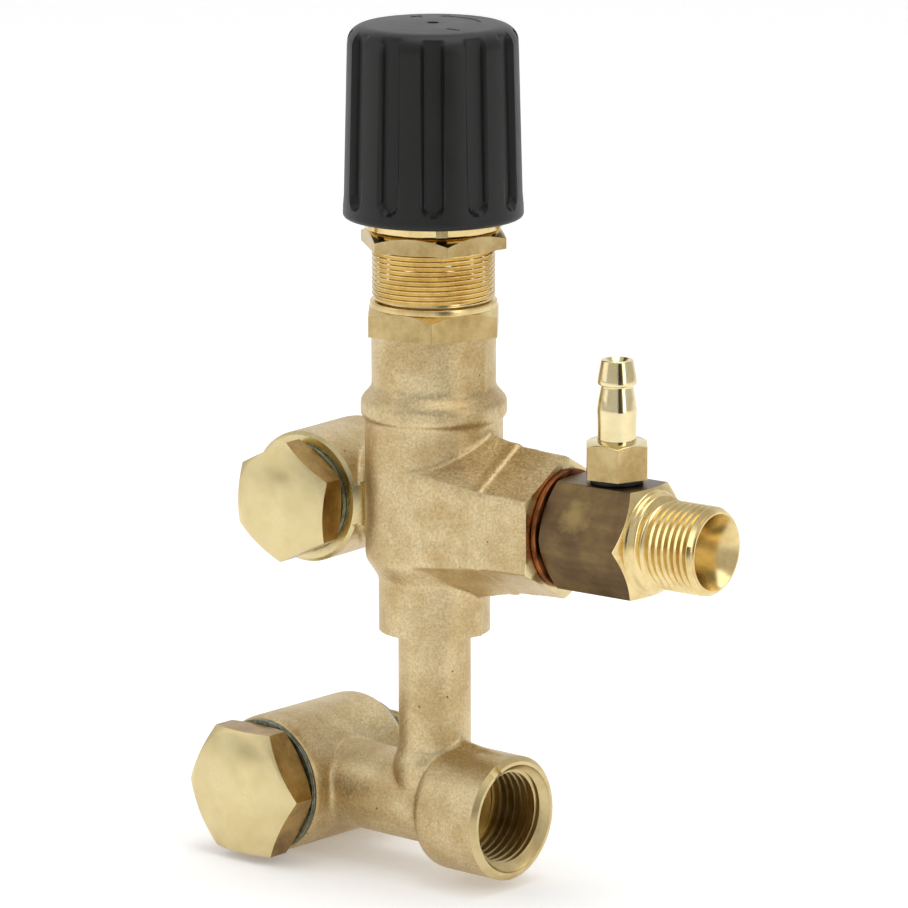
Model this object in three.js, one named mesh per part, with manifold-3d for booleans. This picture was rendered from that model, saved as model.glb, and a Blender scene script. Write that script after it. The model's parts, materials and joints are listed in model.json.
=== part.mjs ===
// Regulating valve for a high-pressure washer pump, in millimetres, +Z up.
// The valve frame has its origin where the vertical main axis meets the outlet axis:
// +X is the outlet, the banjo bolts face -Y and the pump side is +Y.
// The exported group moves that frame so its origin is the upper pump-side seal face.

import * as THREE from 'three';
import { mergeVertices } from 'three/addons/utils/BufferGeometryUtils.js';
import { ConvexGeometry } from 'three/addons/geometries/ConvexGeometry.js';
import Module from 'manifold-3d';

const wasm = await Module();
wasm.setup();

// ---------------------------------------------------------------- driving dimensions

const SIDES = 24;                 // facets round a turned part
const SMALL_SIDES = 16;           // facets round small turned parts
const GAP = 0.1;                  // between faces that rest on one another
const SLIP = 0.1;                 // radial clearance of a turned part in its bore
const TURN_SLIP = 0.16;           // the same where one part turns in the other, facets included
const SQUEEZE = 0.03;             // how far a seal ring stands out of its groove
const GROOVE_GAP = 0.08;          // clearance between a seal ring and its groove floor
const CUT = 1;                    // how far a cutter runs past the face it opens

const bonnetThreadR = 12.5;       // M25 x 1 outside thread that the knob runs on
const bonnetFlats = 2 * (bonnetThreadR + 0.5);  // hexagons, across flats
const stopNutWall = 1;            // the thin nut's wall at its flats
const stopNutFlats = 2 * (bonnetThreadR + stopNutWall);
const upperBoltFlats = 22;
const lowerBoltFlats = 26;
const venturiFlats = 22;
const barbFlats = 12;

const barrelR = 14.06;            // main casting round the vertical axis
const barrelTop = 19.3;
const barrelBottom = -9.5;
const ringR = 14.9;               // raised ring under the neck
const ringTop = 22.6;
const neckR = 12.65;
const neckTop = 36.3;
const collarR = 11.4;             // lower collar that takes the sliding tube
const collarBottom = -25.6;

const socketR = 10.9;             // threaded socket for the bonnet
const socketFloor = 23.9;
const sleeveR = 8.6;              // bonnet sleeve that holds the piston
const sleeveBottom = 11;
const sleeveGroove = 1.6;
const sleeveSealZ = 16;
const chamberR = 7.5;             // pressure chamber between piston and bypass seat
const ledgeTop = -12.1;           // ledge under the bypass seat
const ledgeBottom = -14.2;
const ledgeHoleR = 4.5;

const upperEyeX = -26.5;          // upper banjo eye, axis along Y
const upperEyeR = 13.6;
const upperEyeFront = -9.4;
const upperEyeBack = 12;
const bridgeR = 10.5;             // boss that joins the upper eye to the barrel
const lowerEyeX = -35;            // lower banjo eye, in the manifold's own frame
const lowerEyeR = 14.4;
const lowerEyeFront = -13;
const lowerEyeBack = 17;

const armEnd = 33.1;              // end face of the outlet arm
const flareTop = 20.5;            // ridge height of the arm's flare inside the barrel
const armPlane = 20.5;            // where the arm's flare meets its hexagon
const armFlat = 13.5;             // half the arm's width across flats
const armPeak = 15.6;             // arm's ridge height
const outletPassageR = 3.5;
const checkBoreR = 6.5;
const checkBoreStart = 11;
const armSocketStart = armEnd - 9.5;            // socket depth
const armSocketR = 8.1;

const bonnetHexTop = 42;
const bonnetTop = 78;
const bonnetBoreR = 8.2;
const nutBottom = 54.1;
const nutTop = 57.7;
const insertWall = 1.5;
const insertR = bonnetThreadR + insertWall;
const insertBottom = nutTop + 0.1;              // the knob is fully down on the nut
const insertTop = 84;
const knobWall = 4.3;
const knobR = insertR + knobWall;
const knobBottom = insertBottom + 2.1;          // the cup's rim shows under the knob
const knobTop = 99.3;
const grooves = 12;

const pistonR = 6;
const pistonTop = 24.4;
const pistonGroove = 1.7;          // its depth
const pistonGrooveStart = 16;
const pistonGrooveEnd = 20;
const stemR = 2.6;
const stemTop = 12.5;
const stemBottom = 0.5;
const ballR = 3.97;
const ballZ = -3.6;
const bypassSeatTop = -6;
const seatGroove = 1.4;

const springWire = 2;
const springMeanR = 6.9;
const spigotR = springMeanR - springWire / 2 - 0.4;  // what centres the spring at each end
const guideTop = 27.1;
const seatPlateBottom = 69.5;

const outletWasherThickness = 1.2;
const hexStart = armEnd + outletWasherThickness + 2 * GAP;  // venturi body along X
const hexEnd = hexStart + 20.3;
const outletCollarEnd = hexEnd + 2.2;
const outletCollarR = 9.8;
const outletEnd = outletCollarEnd + 13;
const outletThreadR = 9;          // M18 x 1.5
const outletPitch = 1.5;
const nozzleStart = hexStart - 2.9;
const mixingStart = hexStart + 13;
const throatR = 1.6;
const diffuserR = 3.2;
const mouthR = 7.7;

const barbX = hexStart + 11.2;
const barbHexBottom = 12.2;
const barbHexTop = 19.5;
const barbTip = 36;
const barbBoreR = 1.4;
const barbFoot = 8.15;
const suctionBallR = 1.9;
const suctionBallZ = 6.6;
const suctionPocketFloor = 3.7;

const manifoldTurn = -4.2;        // the lower casting sits turned on the tube, degrees
const portZ = -62.2;              // height of the inlet port's axis
const portStart = 4.4;
const portEnd = 21.6;
const portR = 12.9;
const portMajorR = 10.48;         // G1/2 inside thread
const portMinorR = 9.32;
const portPitch = 1.814;
const armR = 9;
const inletPassageR = 6.5;
const tubeR = 7.43;
const tubeBoreR = 4.5;
const tubeTop = -17.3;
const tubeGroove = 1.9;           // depth of the tube's seal groove

const washerThickness = 1;
const sealThickness = 1.4;
const upperHeadHeight = 6.8;
const lowerHeadHeight = 7.6;
const shankR = 8.33;              // G3/8 banjo bolts
const boltBoreR = 4.5;
const threadEngagement = 9;       // how far a banjo bolt reaches into the pump
const upperWasherR = 11.2;
const lowerWasherR = 13.8;
const upperSealR = 11.6;
const lowerSealR = 12.4;

// ---------------------------------------------------------------- shape helpers

function toSolid(geometry) {
  const bare = geometry.clone();
  bare.deleteAttribute('normal');
  bare.deleteAttribute('uv');
  const merged = mergeVertices(bare, 1e-4);
  const triVerts = new Uint32Array(merged.index.array);
  const vertProperties = new Float32Array(merged.attributes.position.array);
  const solid = new wasm.Manifold(new wasm.Mesh({ numProp: 3, vertProperties, triVerts }));
  if (solid.volume() > 0) return solid;
  triVerts.reverse();
  return new wasm.Manifold(new wasm.Mesh({ numProp: 3, vertProperties, triVerts }));
}

function fromSolid(solid) {
  const mesh = solid.getMesh();
  const geometry = new THREE.BufferGeometry();
  geometry.setAttribute('position', new THREE.Float32BufferAttribute(mesh.vertProperties, 3));
  geometry.setIndex(new THREE.Uint32BufferAttribute(mesh.triVerts, 1));
  geometry.computeVertexNormals();
  return geometry;
}

// Turns a geometry that stands along +Z so that it points along the named axis.
function aim(geometry, axis) {
  if (axis === 'x') geometry.rotateY(Math.PI / 2);
  if (axis === 'y') geometry.rotateX(-Math.PI / 2);
  return geometry;
}

// A turned solid: profile is [radius, distance along the axis], from axis to axis or closed.
function turned(profile, axis = 'z', at = [0, 0, 0], sides = SIDES) {
  const points = profile.map(([radius, along]) => new THREE.Vector2(radius, along));
  const lathe = new THREE.LatheGeometry(points, sides).rotateX(Math.PI / 2);
  return toSolid(aim(lathe, axis).translate(...at));
}

function rod(radius, from, to, axis = 'z', at = [0, 0, 0], sides = SIDES) {
  return turned([[0, from], [radius, from], [radius, to], [0, to]], axis, at, sides);
}

function ring(inner, outer, from, to, axis = 'z', at = [0, 0, 0], sides = SIDES) {
  const profile = [[inner, from], [outer, from], [outer, to], [inner, to], [inner, from]];
  return turned(profile, axis, at, sides);
}

// An O-ring round the vertical axis, lying in a groove of the land and depth named.
function sealRing(landR, grooveDepth, middle) {
  const inner = landR - grooveDepth + GROOVE_GAP;
  const outer = landR + SQUEEZE;
  const torus = new THREE.TorusGeometry((outer + inner) / 2, (outer - inner) / 2, 6, SIDES);
  return toSolid(torus.translate(0, 0, middle));
}

function hexPrism(acrossFlats, from, to, axis, at, phaseDegrees) {
  const radius = acrossFlats / Math.sqrt(3);
  const phase = THREE.MathUtils.degToRad(phaseDegrees);
  const corners = [0, 1, 2, 3, 4, 5].map((corner) => {
    const angle = phase + corner * Math.PI / 3;
    return new THREE.Vector2(radius * Math.cos(angle), radius * Math.sin(angle));
  });
  const prism = new THREE.ExtrudeGeometry(new THREE.Shape(corners), {
    depth: to - from, bevelEnabled: false,
  });
  prism.translate(0, 0, from);
  return toSolid(aim(prism, axis).translate(...at));
}

// A hexagon whose corners are turned off at 30 degrees at the ends asked for.
function turnedHex(acrossFlats, from, to, axis, at, phaseDegrees, ends) {
  const cornerR = acrossFlats / Math.sqrt(3) + 0.05;
  const faceR = acrossFlats / 2 * 0.95;
  const drop = (cornerR - faceR) * Math.tan(Math.PI / 6);
  const profile = [[0, from]];
  if (ends.low) profile.push([faceR, from], [cornerR, from + drop]);
  else profile.push([cornerR, from]);
  if (ends.high) profile.push([cornerR, to - drop], [faceR, to]);
  else profile.push([cornerR, to]);
  profile.push([0, to]);
  const prism = hexPrism(acrossFlats, from, to, axis, at, phaseDegrees);
  return prism.intersect(turned(profile, axis, at));
}

// Crest and root points of a thread cut as plain rings, from start to end.
function threadRings(rootR, crestR, start, end, pitch) {
  const points = [];
  const turns = Math.floor((end - start) / pitch);
  for (let turn = 0; turn < turns; turn += 1) {
    const low = start + turn * pitch;
    points.push([rootR, low], [crestR, low + pitch / 2]);
  }
  points.push([rootR, start + turns * pitch]);
  return points;
}

class Helix extends THREE.Curve {
  constructor(radius, from, to, turns) {
    super();
    Object.assign(this, { radius, from, to, turns });
  }

  getPoint(t, target = new THREE.Vector3()) {
    const angle = t * this.turns * 2 * Math.PI;
    const height = this.from + (this.to - this.from) * t;
    return target.set(this.radius * Math.cos(angle), this.radius * Math.sin(angle), height);
  }
}

// A coil spring whose wire fills the space between the two faces named.
function coilSpring(meanR, wire, from, to, turns, axis = 'z', at = [0, 0, 0]) {
  const lean = wire * 0.06;
  const path = new Helix(meanR, from + wire / 2 + lean, to - wire / 2 - lean, turns);
  const section = new THREE.Shape();
  section.absarc(0, 0, wire / 2, 0, 2 * Math.PI, false);
  const coil = new THREE.ExtrudeGeometry(section, {
    steps: Math.round(turns * 9), curveSegments: 3, extrudePath: path,
  });
  return toSolid(aim(coil, axis).translate(...at));
}

function unite(first, ...others) {
  return others.reduce((sum, other) => sum.add(other), first);
}

function without(first, ...cutters) {
  return cutters.reduce((rest, cutter) => rest.subtract(cutter), first);
}

// ---------------------------------------------------------------- main casting

// One hexagonal section of the outlet arm: flats face +Y and -Y, ridges up and down.
function armSection(x, flat, peak) {
  const corners = [];
  for (const side of [-1, 1]) {
    corners.push(new THREE.Vector3(x, 0, side * peak));
    corners.push(new THREE.Vector3(x, flat, side * peak / 2));
    corners.push(new THREE.Vector3(x, -flat, side * peak / 2));
  }
  return corners;
}

function outletArm() {
  const start = armSection(0, barrelR, flareTop);
  const middle = armSection(armPlane, armFlat, armPeak);
  const end = armSection(armEnd, armFlat, armPeak - 0.8);
  const flare = toSolid(new ConvexGeometry([...start, ...middle]));
  return unite(flare, toSolid(new ConvexGeometry([...middle, ...end])));
}

function valveBody() {
  const outside = turned([
    [0, collarBottom], [collarR - 0.5, collarBottom], [collarR, collarBottom + 0.5],
    [collarR, barrelBottom - 5], [collarR + 0.4, barrelBottom - 4], [collarR + 1.2, barrelBottom - 3],
    [barrelR - 0.5, barrelBottom - 1.8], [barrelR, barrelBottom], [barrelR, barrelTop],
    [ringR, barrelTop + 0.3], [ringR, ringTop], [ringR - 0.7, ringTop + 0.6],
    [neckR + 0.3, ringTop + 2], [neckR, ringTop + 2.8], [neckR, neckTop], [0, neckTop],
  ]);
  const eyeAt = [upperEyeX, 0, 0];
  const eye = turned([
    [0, upperEyeFront], [upperEyeR - 1.4, upperEyeFront], [upperEyeR - 0.6, upperEyeFront + 0.8],
    [upperEyeR - 0.6, upperEyeFront + 3], [upperEyeR, upperEyeFront + 4], [upperEyeR, upperEyeBack - 2],
    [upperEyeR - 0.6, upperEyeBack - 0.6], [upperEyeR - 2, upperEyeBack], [0, upperEyeBack],
  ], 'y', eyeAt);
  const bridge = rod(bridgeR, upperEyeX, 0, 'x', [0, upperEyeBack - bridgeR, 0]);
  const mainBore = turned([
    [0, collarBottom - CUT], [tubeR + SLIP, collarBottom - CUT], [tubeR + SLIP, ledgeBottom],
    [ledgeHoleR, ledgeBottom], [ledgeHoleR, ledgeTop], [chamberR, ledgeTop],
    [chamberR, sleeveBottom - 0.2], [sleeveR + SLIP, sleeveBottom - 0.2],
    [sleeveR + SLIP, socketFloor], [socketR, socketFloor], [socketR, neckTop + CUT], [0, neckTop + CUT],
  ]);
  const boltBore = banjoBore(upperEyeFront, upperEyeBack, eyeAt);
  const inletPassage = rod(ledgeHoleR, upperEyeX, 0, 'x', [0, 1, 0], SMALL_SIDES);
  const outletBore = turned([
    [0, 0], [outletPassageR, 0], [outletPassageR, checkBoreStart], [checkBoreR, checkBoreStart],
    [checkBoreR, armSocketStart], [armSocketR, armSocketStart], [armSocketR, armEnd + CUT],
    [0, armEnd + CUT],
  ], 'x');
  const casting = unite(outside, eye, bridge, outletArm());
  return without(casting, mainBore, boltBore, inletPassage, outletBore);
}

// The bore of a banjo eye, with the wide ring that water reaches the bolt's cross holes by.
function banjoBore(front, back, at) {
  const wide = shankR + 1.7;
  const middle = (front + back) / 2;
  return turned([
    [0, front - CUT], [shankR + 0.25, front - CUT], [shankR + 0.25, middle - 5], [wide, middle - 4],
    [wide, middle + 4], [shankR + 0.25, middle + 5], [shankR + 0.25, back + CUT], [0, back + CUT],
  ], 'y', at);
}

// ---------------------------------------------------------------- lower casting

function inletManifold() {
  const eyeAt = [lowerEyeX, 0, portZ];
  const portAt = [0, 0, portZ];
  const eye = turned([
    [0, lowerEyeFront], [lowerEyeR - 1.5, lowerEyeFront], [lowerEyeR - 0.7, lowerEyeFront + 0.8],
    [lowerEyeR, lowerEyeFront + 3.5], [lowerEyeR, lowerEyeBack - 3], [lowerEyeR - 1, lowerEyeBack - 1],
    [lowerEyeR - 3, lowerEyeBack], [0, lowerEyeBack],
  ], 'y', eyeAt);
  const arm = rod(armR, lowerEyeX, portStart + 2, 'x', portAt);
  const port = turned([
    [0, portStart - 3], [portR - 4, portStart - 2.4], [portR - 1.2, portStart - 0.6],
    [portR, portStart + 1.2], [portR, portEnd - 0.8], [portR - 0.8, portEnd], [0, portEnd],
  ], 'x', portAt);
  const grooveR = tubeR - tubeGroove;
  const tube = turned([
    [0, portZ], [tubeR + 1.2, portZ], [tubeR + 1.2, portZ + 9.5], [tubeR, portZ + 12],
    [tubeR, tubeTop - 3.9], [grooveR, tubeTop - 3.9], [grooveR, tubeTop - 1.3], [tubeR, tubeTop - 1.3],
    [tubeR, tubeTop - 0.5], [tubeR - 0.5, tubeTop], [0, tubeTop],
  ]);
  const bypass = rod(tubeBoreR, portZ, tubeTop + CUT, 'z', [0, 0, 0], SMALL_SIDES);
  const passage = rod(inletPassageR, lowerEyeX, portEnd - 10, 'x', portAt);
  const threadEnd = portEnd - 1.3;
  const thread = turned([
    [0, 7], [portMinorR, 7], ...threadRings(portMinorR, portMajorR, 7.4, threadEnd, portPitch),
    [portMajorR + 0.4, portEnd - 0.4], [portMajorR + 0.4, portEnd + CUT], [0, portEnd + CUT],
  ], 'x', portAt);
  const boltBore = banjoBore(lowerEyeFront, lowerEyeBack, eyeAt);
  return without(unite(eye, arm, port, tube), bypass, passage, thread, boltBore);
}

function tubeSeal() {
  return sealRing(tubeR, tubeGroove, tubeTop - 2.6);
}

// ---------------------------------------------------------------- banjo bolts and washers

// A hollow bolt: hexagon head towards -Y, threaded end towards the pump, cross holes between.
function banjoBolt(acrossFlats, headHeight, phaseDegrees, front, back, at) {
  const headBack = front - washerThickness - 2 * GAP;
  const headFront = headBack - headHeight;
  const tip = back + sealThickness + threadEngagement;
  const middle = (front + back) / 2;
  const ends = { low: true, high: false };
  const head = turnedHex(acrossFlats, headFront, headBack, 'y', at, phaseDegrees, ends);
  const shank = turned([
    [0, headBack - 1], [shankR, headBack - 1], [shankR, tip - 1.2], [shankR - 1.2, tip], [0, tip],
  ], 'y', at);
  const bore = rod(boltBoreR, middle - boltBoreR, tip + CUT, 'y', at, SMALL_SIDES);
  const crossAt = [at[0], middle, at[2]];
  const crossR = shankR * 0.36;
  const across = rod(crossR, -shankR - CUT, shankR + CUT, 'x', crossAt, SMALL_SIDES);
  const upright = rod(crossR, -shankR - CUT, shankR + CUT, 'z', crossAt, SMALL_SIDES);
  return without(unite(head, shank), bore, across, upright);
}

function upperBolt() {
  return banjoBolt(upperBoltFlats, upperHeadHeight, -26, upperEyeFront, upperEyeBack, upperAt);
}

function lowerBolt() {
  return banjoBolt(lowerBoltFlats, lowerHeadHeight, 0, lowerEyeFront, lowerEyeBack, lowerAt);
}

function frontWasher(outerR, front, at) {
  return ring(shankR + SLIP, outerR, front - GAP - washerThickness, front - GAP, 'y', at);
}

function pumpWasher(outerR, back, at) {
  return ring(shankR + SLIP, outerR, back + GAP, back + GAP + sealThickness, 'y', at);
}

// ---------------------------------------------------------------- bonnet, nut and knob

function bonnet() {
  const hexBottom = neckTop + GAP;
  const hexTop = bonnetHexTop;
  const ends = { low: false, high: true };
  const hex = turnedHex(bonnetFlats, hexBottom, hexTop, 'z', [0, 0, 0], 5.6, ends);
  const grooveR = sleeveR - sleeveGroove;
  const outside = turned([
    [0, sleeveBottom], [sleeveR - 0.4, sleeveBottom], [sleeveR, sleeveBottom + 0.4],
    [sleeveR, sleeveSealZ - 1.2], [grooveR, sleeveSealZ - 1.2], [grooveR, sleeveSealZ + 1.2],
    [sleeveR, sleeveSealZ + 1.2],
    [sleeveR, socketFloor + GAP], [socketR - SLIP, socketFloor + GAP], [socketR - SLIP, hexTop - 2],
    [bonnetThreadR - 0.7, hexTop - 2], [bonnetThreadR - 0.7, hexTop + 0.6],
    [bonnetThreadR, hexTop + 1.2],
    [bonnetThreadR, bonnetTop - 1], [bonnetThreadR - 1, bonnetTop], [0, bonnetTop],
  ]);
  const inside = turned([
    [0, sleeveBottom - CUT], [pistonR + SLIP, sleeveBottom - CUT], [pistonR + SLIP, socketFloor],
    [bonnetBoreR, socketFloor], [bonnetBoreR, bonnetTop + CUT], [0, bonnetTop + CUT],
  ]);
  return without(unite(hex, outside), inside);
}

function bonnetSeal() {
  return sealRing(sleeveR, sleeveGroove, sleeveSealZ);
}

function stopNut() {
  const hex = turnedHex(stopNutFlats, nutBottom, nutTop, 'z', [0, 0, 0], 18, { low: true, high: true });
  return without(hex, rod(bonnetThreadR + TURN_SLIP, nutBottom - CUT, nutTop + CUT));
}

// Brass cup moulded into the knob: it runs on the bonnet's thread and pushes the spring seat.
function knobInsert() {
  const outside = turned([
    [0, insertBottom], [insertR - 0.6, insertBottom], [insertR, insertBottom + 0.6],
    [insertR, insertTop - 0.6], [insertR - 0.6, insertTop], [0, insertTop],
  ]);
  const cavityTop = bonnetTop + 0.9;
  const cavity = rod(bonnetThreadR + TURN_SLIP, insertBottom - CUT, cavityTop);
  const notches = [];
  for (let notch = 0; notch < 6; notch += 1) {
    const box = new THREE.BoxGeometry(2.4, 2.4, insertTop - insertBottom + 2);
    box.translate(insertR + 0.7, 0, (insertTop + insertBottom) / 2);
    box.rotateZ(notch * Math.PI / 3 + 0.25);
    notches.push(toSolid(box));
  }
  return without(outside, cavity, ...notches);
}

function knobGroove(index) {
  const width = 4.2;
  const depth = 1.3;
  const footZ = knobBottom + 3 + width / 2;
  const outline = new THREE.Shape();
  outline.moveTo(width / 2, footZ);
  outline.lineTo(width / 2, knobTop + CUT);
  outline.lineTo(-width / 2, knobTop + CUT);
  outline.lineTo(-width / 2, footZ);
  outline.absarc(0, footZ, width / 2, Math.PI, 2 * Math.PI, false);
  const slot = new THREE.ExtrudeGeometry(outline, { depth: 5, bevelEnabled: false, curveSegments: 4 });
  slot.rotateX(Math.PI / 2);
  slot.translate(0, -(knobR - depth), 0);
  slot.rotateZ(index * 2 * Math.PI / grooves + THREE.MathUtils.degToRad(37));
  return toSolid(slot);
}

function knob() {
  const shoulder = 3.6;
  const topR = knobR - 0.9;
  const profile = [[0, knobBottom], [knobR - 1.2, knobBottom], [knobR, knobBottom + 1.2]];
  for (let step = 0; step <= 4; step += 1) {
    const angle = step * Math.PI / 8;
    const rise = shoulder * Math.sin(angle);
    profile.push([topR - shoulder + shoulder * Math.cos(angle), knobTop - shoulder + rise]);
  }
  profile.push([0, knobTop]);
  const cutters = [];
  for (let index = 0; index < grooves; index += 1) cutters.push(knobGroove(index));
  cutters.push(turned([
    [0, knobBottom - CUT], [insertR + SLIP, knobBottom - CUT], [insertR + SLIP, insertTop + GAP],
    [insertR - 2, insertTop + GAP], [insertR - 2, knobTop - 4.3], [0, knobTop - 4.3],
  ]));
  cutters.push(rod(1.25, knobTop - 6, knobTop + CUT, 'z', [0, 0, 0], 12));
  return without(turned(profile, 'z', [0, 0, 0], 36), ...cutters);
}

// ---------------------------------------------------------------- pressure regulation inside

function springSeat() {
  return turned([
    [0, seatPlateBottom - 4], [spigotR, seatPlateBottom - 4], [spigotR, seatPlateBottom],
    [bonnetBoreR - 0.15, seatPlateBottom], [bonnetBoreR - 0.15, seatPlateBottom + 3],
    [4, seatPlateBottom + 3], [4, bonnetTop], [3.3, bonnetTop + 0.7], [0, bonnetTop + 0.7],
  ]);
}

function springGuide() {
  const plateBottom = pistonTop + 0.2;
  return turned([
    [0, plateBottom], [bonnetBoreR - 0.2, plateBottom], [bonnetBoreR - 0.2, guideTop],
    [spigotR, guideTop], [spigotR - 0.4, guideTop + 4],
    [0, guideTop + 4],
  ]);
}

function piston() {
  const grooveR = pistonR - pistonGroove;
  return turned([
    [0, stemBottom], [stemR, stemBottom], [stemR, stemTop], [pistonR - 0.5, stemTop],
    [pistonR, stemTop + 0.5], [pistonR, pistonGrooveStart], [grooveR, pistonGrooveStart],
    [grooveR, pistonGrooveEnd], [pistonR, pistonGrooveEnd], [pistonR, pistonTop], [0, pistonTop],
  ]);
}

function pistonSeal() {
  return sealRing(pistonR, pistonGroove, pistonGrooveStart + 1);
}

function pistonBackup() {
  const inner = pistonR - pistonGroove + GROOVE_GAP;
  return ring(inner, pistonR + SQUEEZE, pistonGrooveEnd - 1.8, pistonGrooveEnd - 0.2);
}

function bypassBall() {
  return toSolid(new THREE.SphereGeometry(ballR, 16, 8).rotateX(Math.PI / 2).translate(0, 0, ballZ));
}

function bypassSeat() {
  const bottom = ledgeTop + GAP;
  const outer = chamberR - SLIP;
  return turned([
    [2.8, bottom], [outer, bottom], [outer, bottom + 2], [outer - seatGroove, bottom + 2],
    [outer - seatGroove, bottom + 4], [outer, bottom + 4], [outer, bypassSeatTop], [3.4, bypassSeatTop],
    [2.8, bypassSeatTop - 0.6], [2.8, bottom],
  ]);
}

function bypassSeatSeal() {
  return sealRing(chamberR - SLIP, seatGroove, ledgeTop + GAP + 3);
}

// ---------------------------------------------------------------- outlet check valve

function checkSeat() {
  const start = checkBoreStart + 0.2;
  const outer = checkBoreR - SLIP;
  return turned([
    [3, start], [outer, start], [outer, start + 3], [3.8, start + 3], [3, start + 2.2], [3, start],
  ], 'x');
}

function checkPoppet() {
  const face = checkBoreStart + 3.4;
  return turned([
    [0, face - 2], [2.3, face - 2], [2.7, face - 1.6], [2.7, face], [4.6, face], [4.6, face + 2],
    [1.7, face + 2], [1.7, face + 6.5], [0, face + 6.5],
  ], 'x', [0, 0, 0], SMALL_SIDES);
}

// ---------------------------------------------------------------- venturi injector

function outletWasher() {
  return ring(armSocketR + SLIP, 12, armEnd + GAP, hexStart - GAP, 'x');
}

function venturiBody() {
  const hex = turnedHex(venturiFlats, hexStart, hexEnd, 'x', [0, 0, 0], 30, { low: true, high: true });
  const rootR = outletThreadR - 0.92;
  const threadStart = outletCollarEnd + 1;
  const spigot = turned([
    [0, armSocketStart + 0.4], [armSocketR - SLIP - 0.6, armSocketStart + 0.4],
    [armSocketR - SLIP, armSocketStart + 1], [armSocketR - SLIP, hexStart + 1], [0, hexStart + 1],
  ], 'x');
  const threadEnd = outletEnd - 1;
  const outlet = turned([
    [0, hexEnd - 1], [outletCollarR, hexEnd - 1], [outletCollarR, outletCollarEnd - 0.4],
    [outletCollarR - 0.2, outletCollarEnd], [outletThreadR + 0.05, outletCollarEnd],
    [rootR, outletCollarEnd + 0.9],
    ...threadRings(rootR, outletThreadR, threadStart, threadEnd, outletPitch),
    [rootR, outletEnd], [0, outletEnd],
  ], 'x');
  const coneStart = outletEnd - (mouthR - diffuserR) / Math.tan(Math.PI / 6);
  const bore = turned([
    [0, armSocketStart - CUT], [5.2, armSocketStart - CUT], [5.2, nozzleStart], [3.1, nozzleStart],
    [3.1, mixingStart], [throatR, mixingStart], [diffuserR, coneStart], [mouthR, outletEnd],
    [mouthR, outletEnd + CUT], [0, outletEnd + CUT],
  ], 'x');
  const suction = turned([
    [0, 0], [1.3, 0], [1.3, suctionPocketFloor], [2.5, suctionPocketFloor], [2.5, barbFoot - 0.2],
    [4, barbFoot - 0.2], [4, venturiFlats / 2 + CUT], [0, venturiFlats / 2 + CUT],
  ], 'z', [barbX, 0, 0], SMALL_SIDES);
  return without(unite(hex, spigot, outlet), bore, suction);
}

function venturiNozzle() {
  const flangeStart = nozzleStart - 1.5;
  const tip = mixingStart - 2.2;
  return turned([
    [2.4, flangeStart], [5, flangeStart], [5, nozzleStart - GAP], [3, nozzleStart - GAP],
    [3, tip - 1.5], [2, tip], [1, tip], [1, tip - 4], [2.4, flangeStart],
  ], 'x', [0, 0, 0], SMALL_SIDES);
}

function hoseBarb() {
  const at = [barbX, 0, 0];
  const hex = turnedHex(barbFlats, barbHexBottom, barbHexTop, 'z', at, 7, { low: false, high: true });
  const stem = turned([
    [0, barbFoot], [3.5, barbFoot], [3.9, barbFoot + 0.4], [3.9, barbHexTop], [3.95, barbHexTop + 1.5],
    [3.95, barbHexTop + 5.8], [3.05, barbHexTop + 11.2], [3.9, barbHexTop + 11.6],
    [3.9, barbHexTop + 12.2], [3.05, barbTip], [0, barbTip],
  ], 'z', at, SMALL_SIDES);
  const bore = rod(barbBoreR, barbFoot - CUT, barbTip + CUT, 'z', at, SMALL_SIDES);
  return without(unite(hex, stem), bore);
}

function barbSeal() {
  const flat = venturiFlats / 2;
  return ring(4, 5.3, flat + GAP, barbHexBottom - GAP, 'z', [barbX, 0, 0], SMALL_SIDES);
}

function suctionBall() {
  const ball = new THREE.SphereGeometry(suctionBallR, 12, 6).rotateX(Math.PI / 2);
  return toSolid(ball.translate(barbX, 0, suctionBallZ));
}

function suctionSpring() {
  const top = suctionBallZ - 1.5;
  return coilSpring(1.6, 0.3, suctionPocketFloor + 0.05, top, 3, 'z', [barbX, 0, 0]);
}

// ---------------------------------------------------------------- materials and assembly

function material(color, roughness, metalness) {
  return new THREE.MeshStandardMaterial({ color, roughness, metalness });
}

const castBrass = material(0xc4a666, 0.55, 1);
const turnedBrass = material(0xdcc890, 0.28, 1);
const darkBrass = material(0x6e5a3c, 0.45, 1);
const blackPlastic = material(0x323230, 0.5, 0);
const steel = material(0xb8b8b4, 0.3, 1);
const copper = material(0xb0704a, 0.35, 1);
const rubber = material(0x1c1c1c, 0.8, 0);
const whitePlastic = material(0xe6e4dc, 0.5, 0);

function node(name, solid, look) {
  const mesh = new THREE.Mesh(fromSolid(solid), look);
  mesh.name = name;
  return mesh;
}

const upperAt = [upperEyeX, 0, 0];
const lowerAt = [lowerEyeX, 0, portZ];
const checkSpringStart = checkBoreStart + 5.5;
const checkSpringEnd = nozzleStart - 1.6;

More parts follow.
